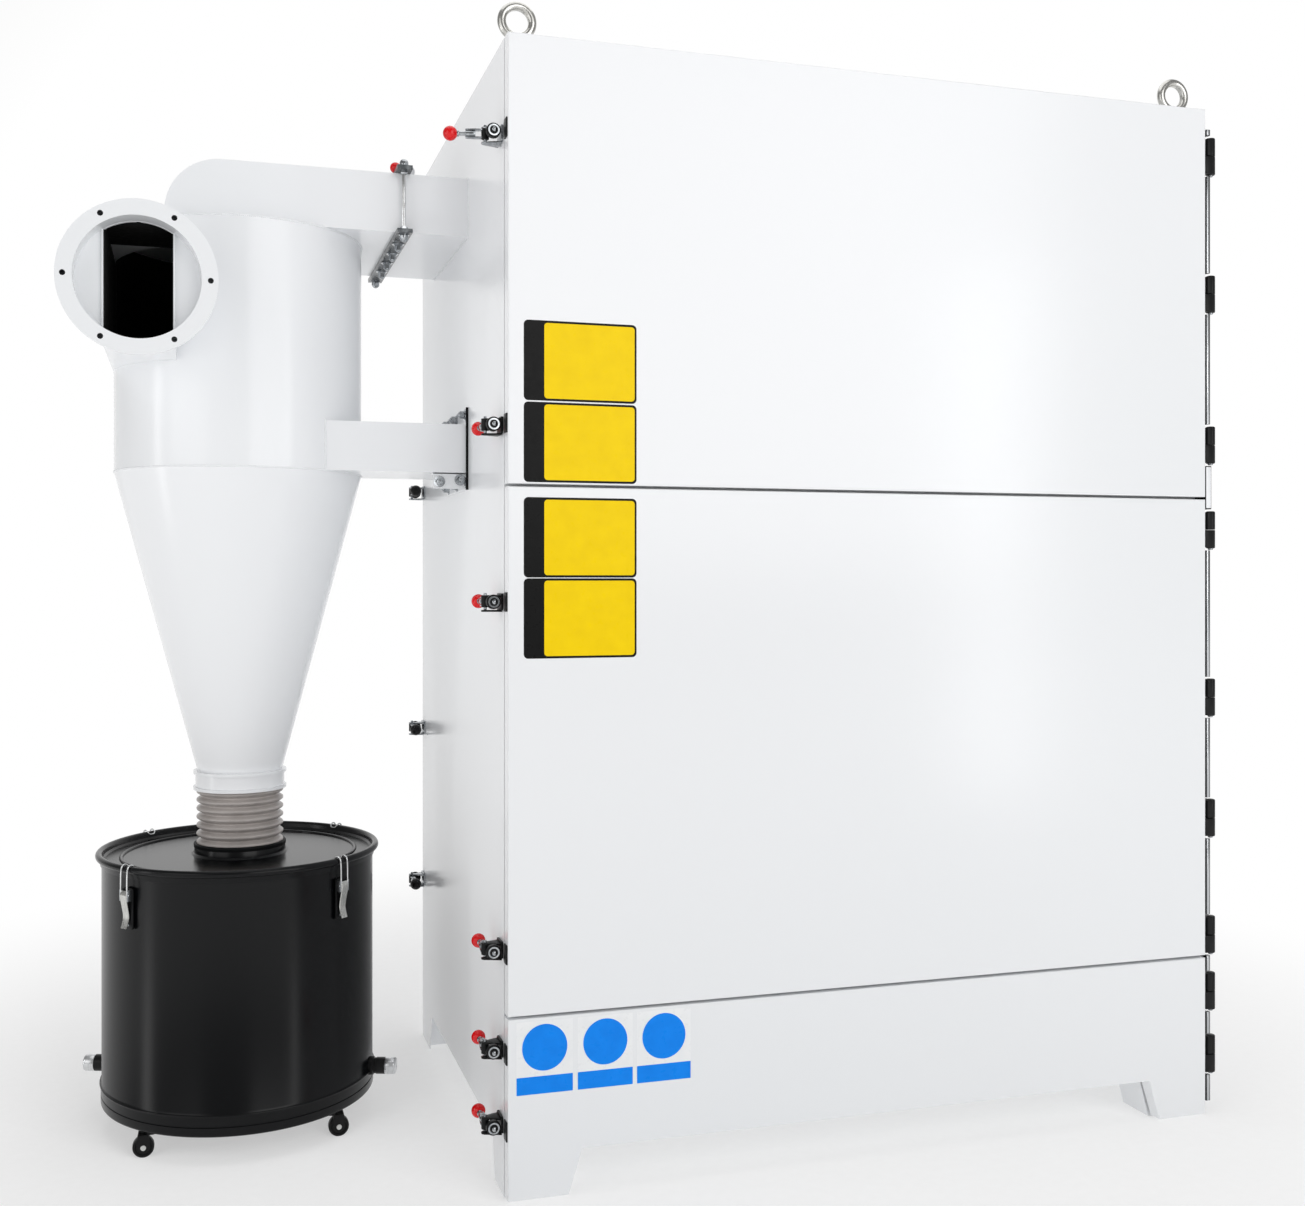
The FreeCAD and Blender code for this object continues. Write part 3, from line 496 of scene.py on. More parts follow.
def bent_strip(line, width, thickness):
    """Strip of metal that follows a line in the YZ plane, as wide as given in X."""
    form = bmesh.new()
    rows = []
    for i, point in enumerate(line):
        along = (line[min(i + 1, len(line) - 1)] - line[max(i - 1, 0)]).normalized()
        away = Vector((0, along.z, -along.y)) * thickness / 2
        taper = 1 - 0.18 * (i / len(line))
        half = width / 2 * taper
        rows.append([form.verts.new(point + Vector((side * half * lift, 0, 0)) + away * depth)
                     for side, depth, lift in ((-1, 1, 0.86), (-1, 0, 1), (-1, -1, 0.94), (1, -1, 0.94),
                                               (1, 0, 1), (1, 1, 0.86))])
    for lower, upper in zip(rows, rows[1:]):
        for k in range(6):
            form.faces.new((lower[k], lower[(k + 1) % 6], upper[(k + 1) % 6], upper[k]))
    form.faces.new(rows[0])
    form.faces.new(rows[-1])
    return form


def latch_forms():
    """Forms of one latch in front of the drum, its height counted from the drum's top edge."""
    backing = cut_plate(rounded_outline(mm(-13, -100), mm(13, -22), 4 * MM), 4 * MM, 0.6 * MM)
    moved(backing, (0, front - 3 * MM, 0))
    cheeks = [block(*near((side * 11 * MM, front, 0), (-1, -13, -46), (1, -1, -24)), 0.4 * MM)
              for side in (-1, 1)]
    pin = bar(*near((0, front, 0), (-13.5, -10, -34), (13.5, -10, -34)), 1.8 * MM, 16)
    blade = bent_strip(lever_line, 19 * MM, 2.4 * MM)
    reach = lid_radius - drum_radius
    rim = front - reach
    half_loop = [*near((1, front, 0), (0, -11, -44)),
                 *near((1, rim, 0), (0, -4, -24), (0, -3.5, 6), (0, -1, 18), (0, 5, 21), (0, 11, 18)),
                 *near((0.6, rim, 0), (0, 13.5, 13))]
    loop = ([(share * -9 * MM, y, z) for share, y, z in half_loop]
            + [(share * 9 * MM, y, z) for share, y, z in reversed(half_loop)])
    hoop = wire(smooth_path(loop, 5), 1.6 * MM, 10)
    rivet = turned(mm((0, 0), (3, 0), (2.4, 1.2), (0, 1.8)),
                   (0, front - 3 * MM, -92 * MM), 16, (0, -1, 0))
    return ([(backing, black_cast)] + [(cheek, zinc) for cheek in cheeks]
            + [(pin, chrome), (blade, satin_steel), (hoop, bright), (rivet, zinc)])


for rank, degrees in enumerate(LATCH_ANGLES, start=1):
    forms = [(moved(form, axis + Vector((0, 0, drum_top)), math.radians(degrees)), finish)
             for form, finish in latch_forms()]
    piece(f"draw_latch_{rank}", forms, "cabinet", ["drum_latches"], 40)
print("draw latches:", len(LATCH_ANGLES))

# %% [markdown]
# ### Carrying handles
# Each handle is a short bar through a moulded collar, with a turned aluminium cap at its end.  A handle is
# one stack of steps along its own axis, so a lathe profile gives every edge its small round.  The pair is
# turned a little from the X axis, as the latches are.

# %% Side handles
HANDLE_TURN = math.radians(-18)
BAR_RADIUS, GRIP = 13 * MM, 3.5 * MM
handle_low, handle_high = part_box("drum_handles")
handle_z = (handle_low.z + handle_high.z) / 2
handle_radius = (handle_high.z - handle_low.z) / 2 + GRIP
reach = (handle_high.x - axis.x + BAR_RADIUS * math.sin(HANDLE_TURN)) / math.cos(HANDLE_TURN)
for side, name in ((1, "right"), (-1, "left")):
    along = (side * math.cos(HANDLE_TURN), side * math.sin(HANDLE_TURN), 0)
    collar = [(0, drum_radius - 8 * MM),
              *near((handle_radius, drum_radius), (2, -8), (2, 3), (1, 4), (-1, 5), (-1, 9), (0, 10),
                    (0, 27), (-1.5, 28)), (0, drum_radius + 28 * MM)]
    cap = [(0, drum_radius + 27 * MM), *near((handle_radius, drum_radius), (-0.5, 27.5), (0, 28.5)),
           *near((handle_radius, reach), (0, -4), (-1, -1.8), (-3, -0.5), (-5, 0)),
           *near((0, reach), (4, 0), (3.5, -1), (0, -1))]
    place = Vector((axis.x, axis.y, handle_z))
    piece(f"carrying_handle_{name}", [(turned(collar, place, 48, along), black_nylon),
                                      (turned(cap, place, 48, along), aluminium)],
          "cabinet", ["drum_handles"])
print("handles reach", round(reach * 1000), "mm from the axis")

# %% [markdown]
# ### Casters
# Small twin-wall furniture casters: a pressed hood over the wheel, a moulded wheel with a bright axle
# boss.  The hood turns on its king pin and the wheel turns in the hood, so they are separate pieces.

# %% Casters
for rank in range(1, 5):
    fork_low, fork_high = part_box(f"caster_fork_{rank}")
    wheel_low, wheel_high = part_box(f"caster_wheel_{rank}")
    hub = (wheel_low + wheel_high) / 2
    radius, half = (wheel_high.x - wheel_low.x) / 2, (wheel_high.y - wheel_low.y) / 2
    pin_x = fork_low.x + 13 * MM if hub.x > (fork_low.x + fork_high.x) / 2 else fork_high.x - 13 * MM
    tread = [*near((0, half), (3.2, 0), (8, 0), (9, -1.5), (14, -1.5), (15, 0)),
             *near((radius, half), (-2, 0), (-0.5, -1), (0, -3))]
    tread = [(r, -y) for r, y in tread] + tread[::-1]
    piece(f"caster_tyre_{rank}", [(turned(tread, hub, 48, (0, 1, 0), ring=True), black_nylon)],
          f"caster_wheel_{rank}", [f"caster_wheel_{rank}"])
    cheeks = []
    for side in (-1, 1):
        y = hub.y + side * (half + 1 * MM)
        outline = mm((-9, 27), (-12.5, 9), (-11, -2), (-6, -7), (0, -9), (6, -7), (11, -2), (12.5, 9),
                     (9, 27))
        cheek = cut_plate(outline, 2.5 * MM, 0.5 * MM)
        cheeks.append(moved(cheek, (hub.x, y if side == 1 else y - 2.5 * MM, hub.z)))
    top = fork_high.z
    across = half + 3.5 * MM
    crown = block((hub.x - 9 * MM, hub.y - across, hub.z + 23.5 * MM),
                  (hub.x + 9 * MM, hub.y + across, hub.z + 27 * MM), 0.8 * MM)
    race = turned([*near((0, hub.z), (4.2, 24), (13, 24)),
                   *near((0, top), (13, -2), (11, 0), (4.2, 0))], (pin_x, hub.y, 0), 40, ring=True)
    boss = [turned(near((0, half), (0, -6), (2.9, -6), (2.9, 3.4), (5.2, 3.5), (4.6, 4.6), (2, 5.2),
                        (1.4, 4.4), (0, 4.4)), hub, 24, (0, side, 0)) for side in (-1, 1)]
    piece(f"caster_hood_{rank}", [(form, black_nylon) for form in cheeks + [crown, race]]
          + [(form, white_nylon) for form in boss], f"caster_fork_{rank}",
          [f"caster_fork_{rank}"])
print("casters: 4, wheels", round(2 * radius * 1000), "mm across")

# %% [markdown]
# ## Repeated things with Geometry Nodes
# Screws, ribs and weld beads repeat by a rule, so a node tree makes them from a few numbers.  The helper
# below builds a tree with named inputs, another one runs it on a guide mesh and keeps the plain result.

# %% Node tree helpers
def grower(name, sizes):
    """Empty geometry tree with a geometry input and named sizes."""
    tree = bpy.data.node_groups.new(name, "GeometryNodeTree")
    face = tree.interface
    face.new_socket("Guide", in_out="INPUT", socket_type="NodeSocketGeometry")
    for label, value in sizes.items():
        kind = "NodeSocketInt" if isinstance(value, int) else "NodeSocketFloat"
        face.new_socket(label, in_out="INPUT", socket_type=kind).default_value = value
    face.new_socket("Finish", in_out="INPUT", socket_type="NodeSocketMaterial")
    face.new_socket("Made", in_out="OUTPUT", socket_type="NodeSocketGeometry")
    return tree, add(tree, "NodeGroupInput").outputs


def close_tree(tree, geometry, finish):
    """End a tree: real geometry, smooth, with its finish."""
    real = add(tree, "GeometryNodeRealizeInstances", {"Geometry": geometry}).outputs[0]
    smooth = add(tree, "GeometryNodeSetShadeSmooth", {"Geometry": real}).outputs[0]
    dressed = add(tree, "GeometryNodeSetMaterial", {"Geometry": smooth, "Material": finish}).outputs[0]
    add(tree, "NodeGroupOutput", {"Made": dressed})


def grow(name, tree, guide, sizes, finish, body, stands_for=(), crease=32):
    """Run a tree on a guide mesh and keep the result as a plain mesh on a body."""
    guide_object = bpy.data.objects.new(name + "_guide", guide)
    bpy.context.scene.collection.objects.link(guide_object)
    modifier = guide_object.modifiers.new("grow", "NODES")
    modifier.node_group = tree
    sockets = {item.name: item.identifier for item in tree.interface.items_tree
               if item.in_out == "INPUT"}
    for label, value in {**sizes, "Finish": finish}.items():
        modifier[sockets[label]] = value
    graph = bpy.context.evaluated_depsgraph_get()
    mesh = bpy.data.meshes.new_from_object(guide_object.evaluated_get(graph))
    guide_object.modifiers.clear()
    bpy.data.objects.remove(guide_object)
    mesh.set_sharp_from_angle(angle=math.radians(crease))
    made = bpy.data.objects.new(name, mesh)
    bpy.context.scene.collection.objects.link(made)
    print(f"  {name}: {len(mesh.polygons)} faces")
    return fixed(made, body, stands_for)


def guide_line(points, closed=False):
    """Guide mesh: points joined by edges."""
    mesh = bpy.data.meshes.new("guide")
    count = len(points)
    edges = [(i, i + 1) for i in range(count - 1)] + ([(count - 1, 0)] if closed else [])
    mesh.from_pydata([tuple(point) for point in points], edges, [])
    return mesh


def guide_points(places, directions):
    """Guide mesh: loose points, each with the direction its piece faces."""
    mesh = bpy.data.meshes.new("guide")
    mesh.from_pydata([tuple(place) for place in places], [], [])
    facing = mesh.attributes.new("facing", "FLOAT_VECTOR", "POINT")
    for entry, direction in zip(facing.data, directions):
        entry.vector = direction
    return mesh


print("node tree helpers ready")

# %% [markdown]
# ### Flexible hose
# The hose between the cyclone's collar and the lid has seven soft ribs over a wire helix.  Its outline
# follows a rule, a wave of even pitch, so the tree draws a straight line, bends its radius with that wave
# and sweeps a circle along it.

# %% Ribbed hose
hose_tree, given = grower("ribbed_hose", {"Radius": 0.086, "Rib depth": 0.01, "Ribs": 7, "Steps": 16})
line = add(hose_tree, "GeometryNodeMeshToCurve", {"Mesh": given["Guide"]}).outputs[0]
count = add(hose_tree, "ShaderNodeMath", {0: given["Ribs"], 1: given["Steps"]},
            operation="MULTIPLY").outputs[0]
fine = add(hose_tree, "GeometryNodeResampleCurve", {"Curve": line, "Count": count}).outputs[0]
share = add(hose_tree, "GeometryNodeSplineParameter").outputs["Factor"]
turns = add(hose_tree, "ShaderNodeMath", {0: share, 1: given["Ribs"]}, operation="MULTIPLY").outputs[0]
angle = add(hose_tree, "ShaderNodeMath", {0: turns, 1: math.tau}, operation="MULTIPLY").outputs[0]
wave = add(hose_tree, "ShaderNodeMath", {0: angle}, operation="COSINE").outputs[0]
lifted = add(hose_tree, "ShaderNodeMath", {0: wave, 1: 0.5, 2: 0.5}, operation="MULTIPLY_ADD").outputs[0]
swell = add(hose_tree, "ShaderNodeMath", {0: lifted, 1: 1.4}, operation="POWER").outputs[0]
fold = add(hose_tree, "ShaderNodeMath", {0: swell, 1: given["Rib depth"]}, operation="MULTIPLY").outputs[0]
radius_now = add(hose_tree, "ShaderNodeMath", {0: given["Radius"], 1: fold},
                 operation="SUBTRACT").outputs[0]
shaped = add(hose_tree, "GeometryNodeSetCurveRadius", {"Curve": fine, "Radius": radius_now}).outputs[0]
ring = add(hose_tree, "GeometryNodeCurvePrimitiveCircle", {
    "Resolution": 96, "Radius": 1.0}).outputs["Curve"]
tube = add(hose_tree, "GeometryNodeCurveToMesh", {"Curve": shaped, "Profile Curve": ring,
                                                  "Scale": radius_now})
close_tree(hose_tree, tube.outputs[0], given["Finish"])
hose_low, hose_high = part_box("bellows_hose")
grow("flexible_hose", hose_tree,
     guide_line([axis + Vector((0, 0, hose_low.z - 3 * MM)), axis + Vector((0, 0, hose_high.z + 4 * MM))]),
     {"Radius": 86 * MM, "Rib depth": 9 * MM, "Ribs": 7}, grey_hose, "cabinet",
     ["bellows_hose"], 80)
piece("hose_seat_ring", [(turned([(84 * MM, 0), (91 * MM, 0), *arc(mm(88, 5), 3.5 * MM, -20, 110),
                                  mm(84, 8.5)], axis + Vector((0, 0, lid_high.z - 4 * MM)), 96,
                                 ring=True), epdm)], "cabinet")

# %% [markdown]
# ### Weld beads
# The sheets are joined by hand-laid weld, painted over.  A bead is a row of overlapping flattened drops,
# each a little different.  The tree walks along the seam in even steps and sets one drop at each.

# %% Weld beads
weld_tree, given = grower("weld_bead", {"Pitch": 0.005, "Width": 0.006, "Seed": 3})
line = add(weld_tree, "GeometryNodeMeshToCurve", {"Mesh": given["Guide"]}).outputs[0]
stepped = add(weld_tree, "GeometryNodeCurveToPoints", {
    "Curve": line, "Length": given["Pitch"]}, mode="LENGTH")
drop = add(weld_tree, "GeometryNodeMeshUVSphere", {
    "Radius": 0.5, "Segments": 8, "Rings": 5}).outputs["Mesh"]
sizes = add(weld_tree, "FunctionNodeRandomValue", data_type="FLOAT_VECTOR")
sizes.inputs[0].default_value = (0.75, 0.75, 0.9)
sizes.inputs[1].default_value = (1.15, 1.1, 1.5)
weld_tree.links.new(given["Seed"], sizes.inputs["Seed"])
scaled = add(weld_tree, "ShaderNodeVectorMath", operation="SCALE")
weld_tree.links.new(sizes.outputs[0], scaled.inputs[0])
weld_tree.links.new(given["Width"], scaled.inputs["Scale"])
row = add(weld_tree, "GeometryNodeInstanceOnPoints", {
    "Points": stepped.outputs["Points"], "Instance": drop, "Rotation": stepped.outputs["Rotation"],
    "Scale": scaled.outputs[0]}).outputs[0]
close_tree(weld_tree, row, given["Finish"])


def circle(radius, height, start=0.0, end=360.0, steps=120):
    """Points of a level arc round the cyclone's axis."""
    turns = [math.radians(start + (end - start) * k / steps) for k in range(steps + 1)]
    return [axis + Vector((radius * math.cos(t), radius * math.sin(t), height)) for t in turns]


def weld(name, points, width_mm, pitch_mm, seed):
    sizes = {"Width": width_mm * MM, "Pitch": pitch_mm * MM, "Seed": seed}
    grow(name, weld_tree, guide_line(points), sizes, white_coat, "cabinet", (), 180)


barrel_low, barrel_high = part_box("barrel")
barrel_radius = (barrel_high.x - barrel_low.x) / 2
hood_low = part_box("outlet_hood")[0]
duct_low, duct_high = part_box("cabinet_duct")
arm_low, arm_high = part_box("support_arm")
inlet_low, inlet_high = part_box("inlet_box")
weld("weld_cone_seam", circle(barrel_radius - 0.5 * MM, barrel_low.z), 4.5, 3.4, 5)
weld("weld_barrel_rim", circle(barrel_radius - 0.5 * MM, barrel_high.z - 1 * MM), 5, 3.6, 6)
arm_x = axis.x + math.sqrt(barrel_radius ** 2 - (axis.y - arm_low.y) ** 2)
arm_back_x = axis.x + math.sqrt(barrel_radius ** 2 - (axis.y - arm_high.y) ** 2)
weld("weld_arm_front", [(arm_x, arm_low.y, z) for z in (arm_low.z, arm_high.z)], 5, 3.8, 7)
weld("weld_arm_back", [(arm_back_x, arm_high.y, z) for z in (arm_low.z, arm_high.z)], 5, 3.8, 8)
duct_round = [(duct_low.y, duct_low.z), (duct_low.y, duct_high.z), (duct_high.y, duct_high.z),
              (duct_high.y, duct_low.z), (duct_low.y, duct_low.z)]
weld("weld_duct_wall", [(duct_high.x, y, z) for y, z in duct_round], 5, 4, 9)
weld("weld_inlet_side", [(inlet_low.x + 1 * MM, axis.y - 4 * MM, inlet_low.z),
                         (inlet_low.x + 1 * MM, axis.y - 4 * MM, inlet_high.z - 4 * MM)], 4, 3.6, 10)
weld("weld_hood_foot", [(hood_low.x, hood_low.y, hood_low.z + 1 * MM),
                        (axis.x + 150 * MM, hood_low.y, hood_low.z + 1 * MM)], 5, 3.8, 11)
print("weld beads laid")

# %% [markdown]
# ### Inlet flange
# The round spigot is welded to the flange in front and to the inlet box behind.  The flange's holes take
# closed threaded inserts of dark steel, so that a duct can be bolted on from the front.  Each is a small
# blind socket, turned on the lathe, which looks dark inside.

# %% Flange welds and threaded inserts
spigot_low, spigot_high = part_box("inlet_spigot")
mouth = Vector(((spigot_low.x + spigot_high.x) / 2, spigot_low.y, (spigot_low.z + spigot_high.z) / 2))
spigot_radius = (spigot_high.x - spigot_low.x) / 2
behind = [mouth + Vector((spigot_radius * math.cos(math.tau * k / 90), 0,
                          spigot_radius * math.sin(math.tau * k / 90))) for k in range(91)]
weld("weld_flange_back", behind, 4.5, 3.6, 12)
flange_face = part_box("inlet_flange")[0].y
HOLES, HOLE_CIRCLE = 6, 121 * MM
SOCKET = mm((4.9, 0.2), (4.9, 19), (0, 19), (0, 18), (3.7, 18), (3.7, 0.6), (4.1, 0.2))
inserts = []
for k in range(HOLES):
    turn = math.tau * k / HOLES
    hole = Vector((mouth.x + HOLE_CIRCLE * math.cos(turn), flange_face,
                   mouth.z + HOLE_CIRCLE * math.sin(turn)))
    inserts.append((turned(SOCKET, hole, 24, (0, 1, 0)), dark_steel))
piece("flange_inserts", inserts, "cabinet")
weld("weld_spigot_foot", [point + Vector((0, spigot_high.y - spigot_low.y, 0)) for point in behind],
     4.5, 3.6, 13)
print("inserts:", HOLES)

# %% [markdown]
# ### Bolts and cap nuts
# Hexagon bolts with a washer hold the flanges.  One tree builds washer, hexagon and a domed end, and
# places them on loose points that carry the direction they face.

# %% Bolts
bolt_tree, given = grower("bolt_with_washer", {"Across": 0.013, "Height": 0.008, "Dome": 0.7})
washer_radius, spring_radius, corner_radius, dome_radius = [
    add(bolt_tree, "ShaderNodeMath", {0: given["Across"], 1: share}, operation="MULTIPLY").outputs[0]
    for share in (0.95, 0.7, 0.577, 0.44)]


def cylinder(radius, depth, sides, lift):
    """Cylinder standing on the plane z = 0, raised by lift."""
    made = add(bolt_tree, "GeometryNodeMeshCylinder", {"Vertices": sides, "Radius": radius, "Depth": depth})
    middle = add(bolt_tree, "ShaderNodeMath", {0: depth, 1: 0.5, 2: lift},
                 operation="MULTIPLY_ADD").outputs[0]
    up = add(bolt_tree, "ShaderNodeCombineXYZ", {"Z": middle}).outputs[0]
    return add(bolt_tree, "GeometryNodeTransform", {"Geometry": made.outputs["Mesh"],
                                                    "Translation": up}).outputs[0]


washer_depth, seat = [
    add(bolt_tree, "ShaderNodeMath", {0: given["Height"], 1: share}, operation="MULTIPLY").outputs[0]
    for share in (0.22, 0.44)]
washer = cylinder(washer_radius, washer_depth, 28, 0.0)
spring = cylinder(spring_radius, washer_depth, 24, washer_depth)
head = cylinder(corner_radius, given["Height"], 6, seat)
globe = add(bolt_tree, "GeometryNodeMeshUVSphere", {
    "Segments": 20, "Rings": 10, "Radius": dome_radius}).outputs["Mesh"]
top_of_head = add(bolt_tree, "ShaderNodeMath", {0: seat, 1: given["Height"]}, operation="ADD").outputs[0]
globe_up = add(bolt_tree, "ShaderNodeCombineXYZ", {"Z": top_of_head}).outputs[0]
globe_flat = add(bolt_tree, "ShaderNodeCombineXYZ", {"X": 1.0, "Y": 1.0, "Z": given["Dome"]}).outputs[0]
dome = add(bolt_tree, "GeometryNodeTransform", {"Geometry": globe, "Translation": globe_up,
                                                "Scale": globe_flat}).outputs[0]
whole = add(bolt_tree, "GeometryNodeJoinGeometry")
for form in (washer, spring, head, dome):
    bolt_tree.links.new(form, whole.inputs[0])
facing = add(bolt_tree, "GeometryNodeInputNamedAttribute", data_type="FLOAT_VECTOR")
facing.inputs["Name"].default_value = "facing"
aim = add(bolt_tree, "FunctionNodeAlignRotationToVector", {"Vector": facing.outputs[0]}, axis="Z")
placed = add(bolt_tree, "GeometryNodeInstanceOnPoints", {
    "Points": given["Guide"], "Instance": whole.outputs[0], "Rotation": aim.outputs[0]}).outputs[0]
close_tree(bolt_tree, placed, given["Finish"])


def bolts(name, places, direction, across_mm, height_mm, dome, finish, body="cabinet"):
    grow(name, bolt_tree, guide_points(places, [Vector(direction)] * len(places)),
         {"Across": across_mm * MM, "Height": height_mm * MM, "Dome": dome}, finish, body)


flange_low, flange_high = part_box("arm_flange")
EDGE_GAP = 14 * MM
bolts("arm_flange_bolts",
      [(flange_low.x, flange_low.y + y * MM, z) for y in (14, 110, 208)
       for z in (flange_high.z - EDGE_GAP, flange_low.z + EDGE_GAP)], (-1, 0, 0), 13, 8, 0.8, chrome)

# %% [markdown]
# ## Lever clamps
# Each front door is pulled shut on its left edge by lever clamps: a cast bracket on the side sheet, a lever
# on an upright pin with a red ball knob, and a draw bolt whose nut and washer look forward.  The lever is
# its own piece because it swings; the bracket and the draw bolt stay with the cabinet.

# %% Levers
def lever_forms(knob):
    """Forms of a lever whose pin stands at the origin and whose rod points along +Y."""
    hub = turned(mm((3.2, -10), (6, -10), (7, -9), (7, 9), (6, 10), (3.2, 10)), (0, 0, 0), 32, ring=True)
    straps = []
    for side in (-1, 1):
        strap = cut_plate(mm((-5, 0), (5, 0), (5.5, 14), (3.5, 30), (-3.5, 30), (-5.5, 14)),
                          2.2 * MM, 0.4 * MM)
        strap.transform(Matrix.Rotation(math.radians(-90), 4, "X"))
        straps.append(moved(strap, (0, 5 * MM, side * 7 * MM + 1.1 * MM)))
    cross = bar(mm(0, 24, -9), mm(0, 24, 9), 2.2 * MM, 16)
    socket = bar((0, 17 * MM, 0), (0, 36 * MM, 0), 5.6 * MM, 24, 1 * MM)
    shaft = bar((0, 30 * MM, 0), (0, 56 * MM, 0), 3.6 * MM, 20)
    collar = bar((0, 46 * MM, 0), (0, 52 * MM, 0), 5.4 * MM, 24, 1.2 * MM)
    grip = turned([(0, -12.6 * MM), mm(4.6, -12.6), mm(6.4, -11.4),
                   *[(13 * MM * math.cos(math.radians(a)), 13 * MM * math.sin(math.radians(a)))
                     for a in range(-50, 90, 8)], (0, 13 * MM)], (0, 62 * MM, 0), 40, (0, 1, 0))
    return ([(hub, black_cast)] + [(strap, zinc) for strap in straps]
            + [(form, chrome) for form in (cross, socket, shaft, collar)] + [(grip, knob)])


joints = {joint["name"]: joint for joint in frame["joints"]}
pins = {}
for rank in range(1, 7):
    name = f"clamp_lever_{rank}"
    pin = Vector(joints[f"{name}_swing"]["pos_m"])
    pins[rank] = pin
    low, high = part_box(name)
    reach = Vector((low.x + 13 * MM - pin.x, high.y - 13 * MM - pin.y, 0))
    opening = math.atan2(-reach.x, reach.y) if reach.x < -30 * MM else 0.0
    forms = [(moved(form, pin, opening), finish) for form, finish in lever_forms(red_phenolic)]
    piece(f"lever_{rank}", forms, name, [name])
BACK_CLAMP_HEIGHTS = mm(1880, 1300, 741, 380)
back_pins = [Vector((pins[1].x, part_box("back_clamp_bases")[1].y - 20 * MM, z))
             for z in BACK_CLAMP_HEIGHTS]
for rank, pin in enumerate(back_pins, start=1):
    forms = [(moved(form, pin, math.pi), finish) for form, finish in lever_forms(black_nylon)]
    piece(f"back_lever_{rank}", forms, "cabinet", ["back_clamp_levers"])
print("levers:", len(pins), "in front,", len(back_pins), "behind")


# %% Brackets and draw bolts
DRAW_BOLT = ((mm((0, 0), (11, 0), (13, 2), (13, 10), (11.8, 11), (0, 11)), black_cast),
             (mm((0, 10.5), (10.2, 10.5), (10.2, 12.4), (0, 12.4)), chrome),
             (mm((0, 12), (7.6, 12), (7.2, 13.6), (0, 13.6)), black_cast),
             (mm((0, 13), (4.6, 13), (4.6, 15), (4, 17), (2.4, 18.2), (0, 18.6)), chrome))


def bracket_forms(pin, facing, cast, start_mm=17, length=1.0):
    """Cast bracket round a clamp's pin; facing is -1 where the draw bolt looks forward, 1 backward.

    start_mm is where the draw bolt's stack begins, length shortens it.
    """
    foot = cut_plate(rounded_outline(mm(-20, -15), mm(20, 15), 4 * MM), 4 * MM, 0.8 * MM)
    foot.transform(Matrix.Rotation(math.radians(90), 4, "Z"))
    moved(foot, (sheet_x, pin.y, pin.z))
    forms = [(foot, cast)]
    out = sheet_x - pin.x
    for side in (-1, 1):
        cheek = cut_plate([*near((out, 0), (-2, -17), (-2, 17)),
                           *mm((2, 8), (-3, 6.5), (-7, 2.5), (-7, -2.5), (-3, -6.5), (2, -8))],
                          3.2 * MM, 0.6 * MM)
        cheek.transform(Matrix.Rotation(math.radians(-90), 4, "X"))
        forms.append((moved(cheek, (pin.x, pin.y, pin.z + (11.6 * MM if side == 1 else -14.8 * MM))), cast))
    half_pin = Vector((0, 0, 15.5 * MM))
    forms.append((bar(pin - half_pin, pin + half_pin, 2.9 * MM, 20), zinc))
    nose = Vector((sheet_x - 19 * MM, pin.y + facing * start_mm * MM, pin.z))
    for profile, finish in DRAW_BOLT:
        form = turned([(radius, height * length) for radius, height in profile], nose, 40, (0, facing, 0))
        forms.append((form, finish))
    return forms


sheet_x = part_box("left_side_panel")[0].x
front_brackets, back_brackets = [], []
for rank, pin in pins.items():
    front_brackets += bracket_forms(pin, -1, zinc if rank == 1 else black_cast)
for pin in back_pins:
    back_brackets += bracket_forms(pin, 1, zinc, 10, 0.5)
piece("front_clamp_brackets", front_brackets, "cabinet", ["clamp_bases"])
piece("back_clamp_brackets", back_brackets, "cabinet", ["back_clamp_bases"])
DOOR_CLAMPS = {"upper_door": (1, 2), "middle_door": (3, 4), "lower_door": (5, 6)}
KEEPER = mm((-11, -17), (9, -17), (11, -12), (11, 12), (9, 17), (-11, 17))
for door, ranks in DOOR_CLAMPS.items():
    keepers = []
    for rank in ranks:
        keeper = moved(cut_plate(KEEPER, 2.5 * MM, 0.5 * MM), angle=math.radians(90))
        keepers.append((moved(keeper, (sheet_x, door_face + 15 * MM, pins[rank].z)), black_cast))
    piece(f"{door}_keepers", keepers, door)
print("clamp brackets:", len(pins) + len(back_pins))

# %% [markdown]
# ## Hinges
# The hinges are two-part die castings.  The lower half is screwed to the door's edge and carries the pin;
# the upper half is screwed to the strip on the cabinet and turns on it.  Each half is a block whose edges
# are broken and a round knuckle, so that the join between them shows as a fine line.  Between the hinges a
# stainless cover strip with black seals closes the gap beside the doors; it stays inside the circle that
# the doors' edges draw round the pins, so an opening door never meets it.

# %% Hinge halves
HINGES = {"upper_door": (1956, 1675, 1367), "middle_door": (1194, 852, 606, 368), "lower_door": (253, 125)}
HALF_HINGE, KNUCKLE, PIN_SPLIT, HINGE_EDGE = 36 * MM, 9 * MM, 0.6 * MM, 1.4 * MM
pivot = Vector(joints["upper_door_hinge"]["pos_m"])
leaf_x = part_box("upper_door_hinge_leaves")[0].x
frame_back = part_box("frame_hinge_leaves")[1].y


def knuckle(low, high, radius):
    """Round knuckle; its outer end is domed a little."""
    step = (high - low) / abs(high - low)
    length = abs(high - low)
    profile = [(0, 0), (radius - 0.5 * MM, 0), (radius, 0.5 * MM), (radius, length - 2.5 * MM),
               (radius - 0.8 * MM, length - 0.8 * MM), (radius - 2.8 * MM, length), (0, length)]
    return turned(profile, (pivot.x, pivot.y, low), 40, (0, 0, step))


